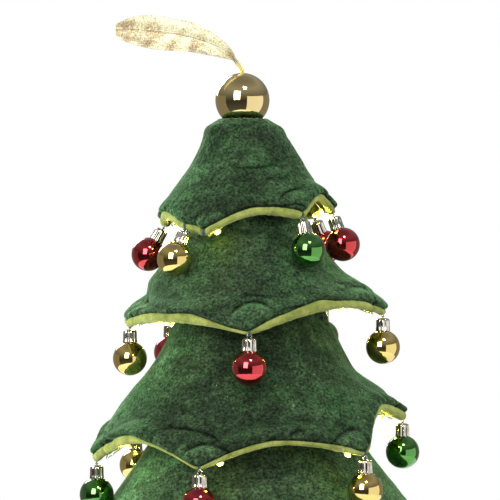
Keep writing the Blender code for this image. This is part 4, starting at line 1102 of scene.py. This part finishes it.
# Up through the trunk behind the switch, bent outwards under its top
slot_low, slot_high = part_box("switch_slider")
slot_y = (slot_low[1] + slot_high[1]) / 2
lead_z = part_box("battery_case")[1][2] - LEAD_SINK
turn_z = TRUNK_H - LEAD_UNDER_TOP
route = [Vector((0, slot_y, lead_z))]
route += [Vector((0, slot_y + out, turn_z + rise)) for out, rise in LEAD_BEND]
route.append(Vector((0, TRUNK_R + LEAD_OUT, turn_z)))
drops = []
for number in (4, 3, 2, 1):
    tier = TIERS[number]
    for degrees in range(WIRE_FROM, WIRE_TO + 1, WIRE_STEP):
        sway = SWAY_H * math.sin(degrees * 0.31 + number) + SMALL_SWAY_H * math.sin(degrees * 0.83)
        route.append(wire_place(tier, degrees) + Vector((0, 0, sway)))
    for degrees in tier["lights"]:
        along = wire_place(tier, degrees + 1) - wire_place(tier, degrees - 1)
        drops.append((wire_place(tier, degrees), along))
    if number > 1:
        # Through the lining's roof, up into the tier above
        high = wire_place(TIERS[number - 1], 180)
        roof_low = tier["below"][0] + GAP
        wall = VELVET_T + LINING_GAP + LINING_T + CLIMB_SPACE
        radius = min(math.hypot(high.x - float(lean(high.z)), high.y), float(cone(tier, roof_low)) - wall)
        route.append(Vector(polar(radius, 180, roof_low - CLIMB_BELOW)))
        route.append(Vector(polar(radius, 180, high.z - CLIMB_OVER)))


def wire_material():
    """Lacquered copper-silver wire under a clear skin."""
    material, tree, surface, spot = new_material("clear_wire")
    stain = mottle(tree, spot, 300.0, 3.0)
    fill(tree, surface, {
        "Base Color": ramp(tree, stain, (0.35, (0.30, 0.27, 0.20)), (0.65, (0.62, 0.60, 0.52))),
        "Metallic": 0.6, "Roughness": stretch(tree, stain, 0.22, 0.4), "Coat Weight": 0.8,
    })
    return material


def drop_material():
    """Resin drop, lit from inside: a white-yellow heart between yellow ends."""
    material, tree, surface, _ = new_material("lit_drop")
    uv = add(tree, "UVMap", uv_map="UVMap").outputs["UV"]
    along = add(tree, "SeparateXYZ", {"Vector": uv}).outputs["Y"]
    end, skin, heart = (0.30, 0.27, 0.003), (0.44, 0.41, 0.03), (1.0, 0.97, 0.55)
    fill(tree, surface, {
        "Emission Color": ramp(tree, along, (0.10, end), (0.30, skin), (0.42, heart), (0.60, heart),
                               (0.72, skin), (0.90, end)),
        "Emission Strength": 2.2, "Base Color": (0.9, 0.75, 0.4, 1), "Roughness": 0.2, "Coat Weight": 0.5,
    })
    return material


wire = place("light_wire", cord_mesh("light_wire", route, WIRE_R), wire_material(), "tree", "light_warm")
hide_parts("light_string")

# One drop, modelled from a sphere drawn out at both ends, and copied
bpy.ops.mesh.primitive_uv_sphere_add(segments=20, ring_count=12, radius=DROP_R, location=(0, 0, 0))
bpy.ops.object.mode_set(mode="EDIT")
for side in (1, -1):
    pick("VERT", lambda co: co.z * side > DROP_R * 0.2)
    bpy.ops.transform.translate(value=(0, 0, side * DROP_R * 0.55))
    pick("VERT", lambda co: co.z * side > DROP_R * 1.1)
    bpy.ops.transform.resize(value=(0.62, 0.62, 1.5), center_override=(0, 0, side * DROP_R * 1.1))
bpy.ops.object.mode_set(mode="OBJECT")
drop_mesh = taken("light_drop")
lit = drop_material()
GLOW_OUT, GLOW_DOWN, GLOW_R = 0.0022, 0.0012, 0.002
for index, (spot, along) in enumerate(drops):
    # Each drop hangs a little off the wire, down and out from the hem
    mesh = drop_mesh.copy()
    outward = (spot - Vector((float(lean(spot.z)), 0, spot.z))).normalized()
    hang = (along.normalized() + outward * 0.12 - Vector((0, 0, 0.12))).normalized()
    spot = spot + hang * DROP_LENGTH * 0.3 - Vector((0, 0, DROP_R * 0.9))
    mesh.transform(Matrix.Translation(spot) @ hang.to_track_quat("Z", "Y").to_matrix().to_4x4())
    place(f"light_drop_{index + 1:02d}", mesh, lit, "tree", "light_warm")
    # Its own light on the cloth round it
    data = bpy.data.lights.new(f"drop_glow_{index + 1:02d}", "POINT")
    data.color, data.energy, data.shadow_soft_size = (1.0, 0.80, 0.16), 0.015, GLOW_R
    linked(data.name, data).location = spot + outward * GLOW_OUT - Vector((0, 0, GLOW_DOWN))


# Ball on the top
# A 40 mm hollow ball with a gold mirror skin, sunk in the crown's dimple. The
# ribbon's knot comes out at a pinhole in its crown.
POLE_PRESS = 0.0006
ball_place = tuple(BALL_CENTRE)
bpy.ops.mesh.primitive_uv_sphere_add(segments=96, ring_count=48, radius=TOP_BALL_R, location=ball_place)
bpy.ops.object.mode_set(mode="EDIT")
for side in (1, -1):
    pick("VERT", lambda co: co.z * side > TOP_BALL_R * 0.9975)
    bpy.ops.transform.resize(value=(0.75, 0.75, 1), center_override=ball_place)
    bpy.ops.transform.translate(value=(0, 0, -side * POLE_PRESS))
bpy.ops.object.mode_set(mode="OBJECT")
gold = mirror_material("mirror_top_gold", (0.88, 0.70, 0.32), (0.84, 0.65, 0.27), 0.1)
ball = place("top_ball_mirror", taken("top_ball_mirror"), gold, "tree", "top_ball_gold")
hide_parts("top_ball")


# Ribbon loop
# One inch sheer organza with metal thread, laid over itself as a loop to the
# left, and twisted tight where it enters the ball.
RIBBON_W, RIBBON_CUT, RIBBON_T = 0.025, 0.222, 0.00022
PLY_APART, BELLY = 0.0004, 0.0030
WAVE_H, FAN_H, TWIST_H = 0.0011, 0.0019, 0.0009
BACK_UPPER_PX, BACK_LOWER_PX = (1.2, 2.6), 3.4
ACROSS, BETWEEN = 30, 5
# Upper and lower edge, as photo pixels, from the root out to the far fold
FRONT_EDGES = (
    ((243.9, 74.0), (240.4, 74.4)), ((244.2, 70.2), (239.8, 71.4)), ((242.4, 67.2), (240.2, 69.4)),
    ((240.6, 63.2), (236.0, 66.0)), ((238.0, 60.6), (234.4, 63.6)), ((235.8, 58.9), (233.4, 60.6)),
    ((232.5, 52.5), (230.5, 59.6)), ((228.0, 47.0), (226.5, 58.9)), ((217.6, 37.6), (218.5, 57.0)),
    ((205.4, 29.8), (208.0, 55.2)), ((194.0, 25.0), (196.0, 52.6)), ((181.0, 20.4), (182.5, 51.0)),
    ((167.6, 17.4), (168.5, 50.6)), ((155.8, 15.4), (155.5, 49.6)), ((145.0, 15.4), (144.0, 47.5)),
    ((134.5, 16.2), (132.0, 44.0)), ((124.5, 19.6), (122.5, 40.6)), ((115.2, 24.4), (115.4, 37.3)),
)


def behind(i, upper, lower):
    """The rear ply's edges at a station: a little off the front ply's, but at the fold."""
    free = i < len(FRONT_EDGES) - 1
    upper_x = upper[0] + BACK_UPPER_PX[0] * math.sin(i * 1.3)
    upper_y = upper[1] + BACK_UPPER_PX[1] * math.sin(i * 0.55) * free
    lower_y = lower[1] - BACK_LOWER_PX * abs(math.sin(i * 0.5)) * free
    return (upper_x, upper_y), (lower[0], lower_y)


BACK_EDGES = tuple(behind(i, *edges) for i, edges in enumerate(FRONT_EDGES))

# Stations along the ribbon: its two edges, depth, and share of the way out
stations = []
for side, edges in ((-1, FRONT_EDGES), (1, BACK_EDGES[::-1])):
    for i, (upper, lower) in enumerate(edges):
        out = i / (len(edges) - 1) if side < 0 else 1 - i / (len(edges) - 1)
        belly = math.sin(math.pi * min(out * 1.02, 1)) ** 0.6
        stations.append((*upper, *lower, side * (PLY_APART + BELLY * belly), out))
fine = []
for near, far in zip(stations, stations[1:]):
    for k in range(BETWEEN):
        fine.append([a + (b - a) * k / BETWEEN for a, b in zip(near, far)])
series = np.array([*fine, stations[-1]])
for column in range(series.shape[1]):
    series[:, column] = soften(series[:, column], 2.2, False)
points = []
for i, (upper_x, upper_y, lower_x, lower_y, y, out) in enumerate(series):
    tight = max(0.0, 1 - out / 0.2)
    for k in range(ACROSS + 1):
        t = k / ACROSS
        pixel = (upper_x + (lower_x - upper_x) * t, upper_y + (lower_y - upper_y) * t)
        wave = math.sin(t * math.pi * 3 + out * 5 + (y > 0) * 1.4) * math.sin(math.pi * t) * min(out * 4, 1)
        fan = math.sin(t * math.tau * 3 + 0.6) * max(0.0, 1 - out / 0.62) * min(1, 0.35 + out * 5)
        spot = Vector(picture_place(pixel, y + WAVE_H * wave + FAN_H * fan))
        spot.y += TWIST_H * tight * math.sin(t * math.tau + i * 0.45)
        points.append(spot)
faces = []
for i in range(len(series) - 1):
    for k in range(ACROSS):
        a = i * (ACROSS + 1) + k
        faces.append((a, a + 1, a + ACROSS + 2, a + ACROSS + 1))
mesh = bpy.data.meshes.new("ribbon_loop")
mesh.from_pydata(points, [], faces)
LENGTH_IN_WIDTHS = RIBBON_CUT / RIBBON_W
layer = mesh.uv_layers.new(name="weave")
for face in mesh.polygons:
    for corner, vert in zip(face.loop_indices, face.vertices):
        row, k = divmod(vert, ACROSS + 1)
        layer.data[corner].uv = (k / ACROSS, row / len(series) * LENGTH_IN_WIDTHS)


def organza_material():
    """Sheer organza with gold metal thread: see-through weave with bright specks."""
    material, tree, surface, spot = new_material("gold_organza")
    uv = add(tree, "UVMap", uv_map="weave").outputs["UV"]
    along = add(tree, "SeparateXYZ", {"Vector": uv}).outputs
    threads = {"Vector": uv, "Scale": 22.0, "Distortion": 0.4}
    warp, weft = (add(tree, "TexWave", threads, bands_direction=way).outputs["Fac"] for way in "XY")
    weave = maths(tree, "MAXIMUM", warp, weft)
    patches = mottle(tree, spot, 44.0, 3.0, 0.5, 0.8)
    glint = mottle(tree, spot, 900.0, 2.0, 0.7)

    def from_line(coordinate, middle):
        """Distance to a line in the weave."""
        return maths(tree, "ABSOLUTE", maths(tree, "SUBTRACT", along[coordinate], middle))

    broken = maths(tree, "MULTIPLY_ADD", glint, 0.42, patches)
    dull, golden, bright = (0.47, 0.35, 0.21), (0.76, 0.64, 0.36), (0.99, 0.95, 0.64)
    tone = ramp(tree, broken, (0.56, dull), (0.69, golden), (0.78, bright))
    colour = times(tree, tone, stretch(tree, glint, 0.55, 1.4, 0.35, 0.68))
    # The ply behind shows through as a darker line along the loop
    colour = times(tree, colour, stretch(tree, from_line("X", 0.47), 0.55, 1.0, 0.012, 0.035))
    # Towards the root, where it is twisted tight, the colour turns a full yellow, made brighter as painted light
    # against the shade it lies in
    from_fold = from_line("Y", LENGTH_IN_WIDTHS / 2)
    root = stretch(tree, from_fold, 0.0, 1.0, LENGTH_IN_WIDTHS * 0.37, LENGTH_IN_WIDTHS * 0.43)
    colour = add(tree, "Mix", {0: root, 6: colour, 7: (1.0, 0.93, 0.36, 1)}, data_type="RGBA").outputs[2]
    shine = stretch(tree, glint, 0.25, 0.85, 0.5, 0.62)
    selvedge = stretch(tree, from_line("X", 0.5), 0.0, 0.35, 0.46, 0.485)
    sheer = stretch(tree, weave, 0.42, 0.86, 0.3, 0.95)
    fill(tree, surface, {
        "Base Color": colour,
        "Metallic": maths(tree, "MULTIPLY", shine, maths(tree, "SUBTRACT", 1.0, root)),
        "Roughness": stretch(tree, patches, 0.5, 0.28),
        "Alpha": maths(tree, "ADD", sheer, selvedge, use_clamp=True),
        "Normal": raised(tree, glint, 0.5, 0.0003, raised(tree, weave, 0.35, 0.0002)),
        "Sheen Weight": 0.3,
    })
    return material


def only(piece):
    """Make a piece the one that is selected and active."""
    bpy.ops.object.select_all(action="DESELECT")
    bpy.context.view_layer.objects.active = piece
    piece.select_set(True)


mesh.materials.append(organza_material())
mesh.shade_smooth()
ribbon = linked("ribbon_loop", mesh)
ply = ribbon.modifiers.new("ply", "SOLIDIFY")
ply.thickness, ply.offset = RIBBON_T, 0
only(ribbon)
bpy.ops.object.modifier_apply(modifier="ply")
ribbon.select_set(False)
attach(ribbon, "ribbon")
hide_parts("ribbon_hanger")


# Stuffing
# White polyester fibre, pushed into the tiers and down into the trunk. It only
# shows when a tier is opened.
SINK, MATTED, TRUNK_SPACE, BOX_SPACE = 0.0052, 0.0006, 0.0004, 0.0008
TRUNK_LEVELS = (0.06, 0.03)
CROWN_R, CROWN_Z, CROWN_DROP = 0.0135, 0.4010, 0.004
turns = np.arange(96) * 360 / 96
rows = [[BALL_CENTRE - np.array((0, 0, SEAT_R + SINK))], polar(CROWN_R + 0 * turns, turns, CROWN_Z)]
for number, tier in TIERS.items():
    below_z, below_r = tier["below"]
    roof = below_z + GAP + LINING_T + GAP
    heights = np.linspace(tier["top"] - (CROWN_DROP if number == 1 else 0), roof, 9)
    for index, z in enumerate(heights):
        radius = float(cone(tier, z)) - SINK
        if index == 0 and number > 1:
            radius = tier["neck"] - VELVET_T - GAP
        ring = np.zeros(len(turns))
        for i, turn in enumerate(np.radians(turns)):
            spot = Vector((math.sin(turn) * 0.1, math.cos(turn) * 0.1, z)) * 42
            ring[i] = radius - MATTED + MATTED * noise.noise(spot)
        rows.append(polar(ring, turns, z))
    hole = below_r - tier["wall"] - GAP
    rows.append(polar(hole + 0 * turns, turns, roof))
box_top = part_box("battery_case")[1][2] + BOX_SPACE
rows += [polar(hole - TRUNK_SPACE + 0 * turns, turns, z) for z in (*TRUNK_LEVELS, box_top)]
rows.append([np.array((0, 0, box_top))])


def fibre_material():
    """Matted white fibre."""
    material, tree, surface, spot = new_material("stuffing_fibre")
    matted = mottle(tree, spot, 240.0, 5.0, 0.5, 1.4)
    fill(tree, surface, {
        "Base Color": ramp(tree, matted, (0.3, grey(0.70)), (0.7, grey(0.84))),
        "Roughness": 0.95, "Normal": raised(tree, matted, 0.8, 0.001),
    })
    return material


mesh = mesh_rows("stuffing_fill", rows)
stuffing = place("stuffing_fill", mesh, fibre_material(), "tree", "stuffing_white")
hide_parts("stuffed_core")


# Trunk
# Brown short-pile plush over a stiff ring, glued to a flat foot with a piped
# edge. The foot has openings for the battery cover and for the switch.
FOOT_T, TRUNK_WALL, PLUSH_SINK, PUFF_H, WALL_ROWS = 0.003, 0.0025, 0.0005, 0.0007, 22
HEM_H, HEM_FADE, SEAM_TURN, SEAM_W, SEAM_SINK = 0.006, 0.01, 2.6, 0.0016, 0.0010
TUCK_Z, TUCK_W, TUCK_SINK = 0.0052, 0.0012, 0.0011
PIPING_Z, PIPING_W, PIPING_H, FOOT_EDGE = 0.0022, 0.0016, 0.0003, 0.0006
SKIN_DEPTH, SOLE_H = 0.0012, 0.0005
COVER_SPACE, SLOT_HALF, CUTTER_H, CUTTER_Z = 0.0005, (0.0038, 0.0023), 0.02, -0.002
tube = {"vertices": 144, "radius": TRUNK_R - PLUSH_SINK, "depth": TRUNK_H}
bpy.ops.mesh.primitive_cylinder_add(**tube, end_fill_type="NGON", location=(0, 0, TRUNK_H / 2))
bpy.ops.object.mode_set(mode="EDIT")
# The plush wall: rows round it, a rounded foot edge and an open, hemmed top
pick("FACE", lambda c: c.z > TRUNK_H * 0.49)
bpy.ops.mesh.inset(thickness=TRUNK_WALL)
bpy.ops.mesh.extrude_region_move(TRANSFORM_OT_translate={"value": (0, 0, FOOT_T - TRUNK_H)})
for cut in range(1, WALL_ROWS):
    bpy.ops.mesh.select_all(action="SELECT")
    bpy.ops.mesh.bisect(plane_co=(0, 0, TRUNK_H * cut / WALL_ROWS), plane_no=(0, 0, 1))
bpy.ops.object.mode_set(mode="OBJECT")
trunk = bpy.context.object


def hump(value, middle, spread):
    return math.exp(-(((value - middle) / spread) ** 2))


for vert in trunk.data.vertices:
    z = vert.co.z + TRUNK_H / 2
    out = math.hypot(vert.co.x, vert.co.y)
    if out < TRUNK_R - SKIN_DEPTH or z > TRUNK_H - HEM_H:
        continue
    turn = math.atan2(vert.co.x, -vert.co.y)
    seam = SEAM_SINK * hump(turn * TRUNK_R, SEAM_TURN * TRUNK_R, SEAM_W)
    puff = PUFF_H * noise.noise(Vector((math.sin(turn) * 2.4, math.cos(turn) * 2.4, z * 34)))
    tuck = PIPING_H * hump(z, PIPING_Z, PIPING_W) - TUCK_SINK * hump(z, TUCK_Z, TUCK_W)
    grow = (puff - seam + tuck - FOOT_EDGE * (z < SOLE_H)) * min(1, (TRUNK_H - HEM_H - z) / HEM_FADE)
    vert.co.x *= 1 + grow / out
    vert.co.y *= 1 + grow / out
cover_low, cover_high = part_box("battery_cover")
for low, high in (
    ([side - COVER_SPACE for side in cover_low[:2]], [side + COVER_SPACE for side in cover_high[:2]]),
    ((-SLOT_HALF[0], slot_y - SLOT_HALF[1]), (SLOT_HALF[0], slot_y + SLOT_HALF[1])),
):
    middle = ((low[0] + high[0]) / 2, (low[1] + high[1]) / 2, CUTTER_Z)
    size = (high[0] - low[0], high[1] - low[1], CUTTER_H)
    bpy.ops.mesh.primitive_cube_add(size=1, location=middle, scale=size)
    cutter = bpy.context.object
    trim = trunk.modifiers.new("opening", "BOOLEAN")
    trim.object, trim.operation, trim.solver = cutter, "DIFFERENCE", "EXACT"
    only(trunk)
    bpy.ops.object.modifier_apply(modifier="opening")
    bpy.data.objects.remove(cutter)


def plush_material():
    """Brown plush: short pile with streaks down the trunk."""
    material, tree, surface, spot = new_material("brown_plush")
    tall = add(tree, "Mapping", {"Vector": spot, "Scale": (1, 1, 0.28)}).outputs["Vector"]
    streaks = mottle(tree, tall, 110.0, 4.0, 0.5, 0.6)
    deep, middle, light = (0.060, 0.028, 0.014), (0.105, 0.052, 0.026), (0.165, 0.088, 0.046)
    tone = ramp(tree, streaks, (0.32, deep), (0.5, middle), (0.68, light))
    fluff = pile(tree, spot, tone, (750.0, 3.0, 0.5, 0.0), (0.3, 0.7, 0.7, 1.3), (0.6, 0.0006))
    fill(tree, surface, {
        "Base Color": fluff["Color"], "Roughness": 0.9,
        "Sheen Weight": 0.5, "Sheen Roughness": 0.4, "Sheen Tint": (0.8, 0.55, 0.35, 1),
        "Normal": raised(tree, streaks, 0.4, 0.001, fluff["Normal"]),
    })
    return material


trunk = place("trunk_plush", taken("trunk_plush"), plush_material(), "tree", "trunk_brown")
trunk.data.shade_flat()
only(trunk)
bpy.ops.object.shade_smooth_by_angle(angle=math.radians(40))
trunk.select_set(False)
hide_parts("trunk_cover")


# Battery box
# Black injection-moulded box with its hinged cover and slide switch, and two
# stamped steel coin cells. These nodes keep their own shapes.
def box_material(name, colour, darker, rough, metallic=0.0):
    """Moulded plastic or stamped steel with a fine grain."""
    material, tree, surface, spot = new_material(name)
    grain, flow = mottle(tree, spot, 1400.0, 2.0), mottle(tree, spot, 70.0, 3.0)
    fill(tree, surface, {
        "Base Color": ramp(tree, flow, (0.35, grey(darker)), (0.65, grey(colour))),
        "Metallic": metallic, "Roughness": stretch(tree, flow, rough - 0.08, rough + 0.08),
        "Normal": raised(tree, grain, 0.25, 0.0002),
    })
    return material


black = box_material("box_black", 0.030, 0.018, 0.45)
knob = box_material("switch_grey", 0.20, 0.14, 0.4)
steel = box_material("cell_steel", 0.68, 0.52, 0.25, 1.0)
box_finishes = {
    "battery_case": black, "battery_cover": black, "switch_slider": knob,
    "coin_cell_1": steel, "coin_cell_2": steel,
}
for name, finish in box_finishes.items():
    for slot in frame["nodes"][name].material_slots:
        slot.material = finish
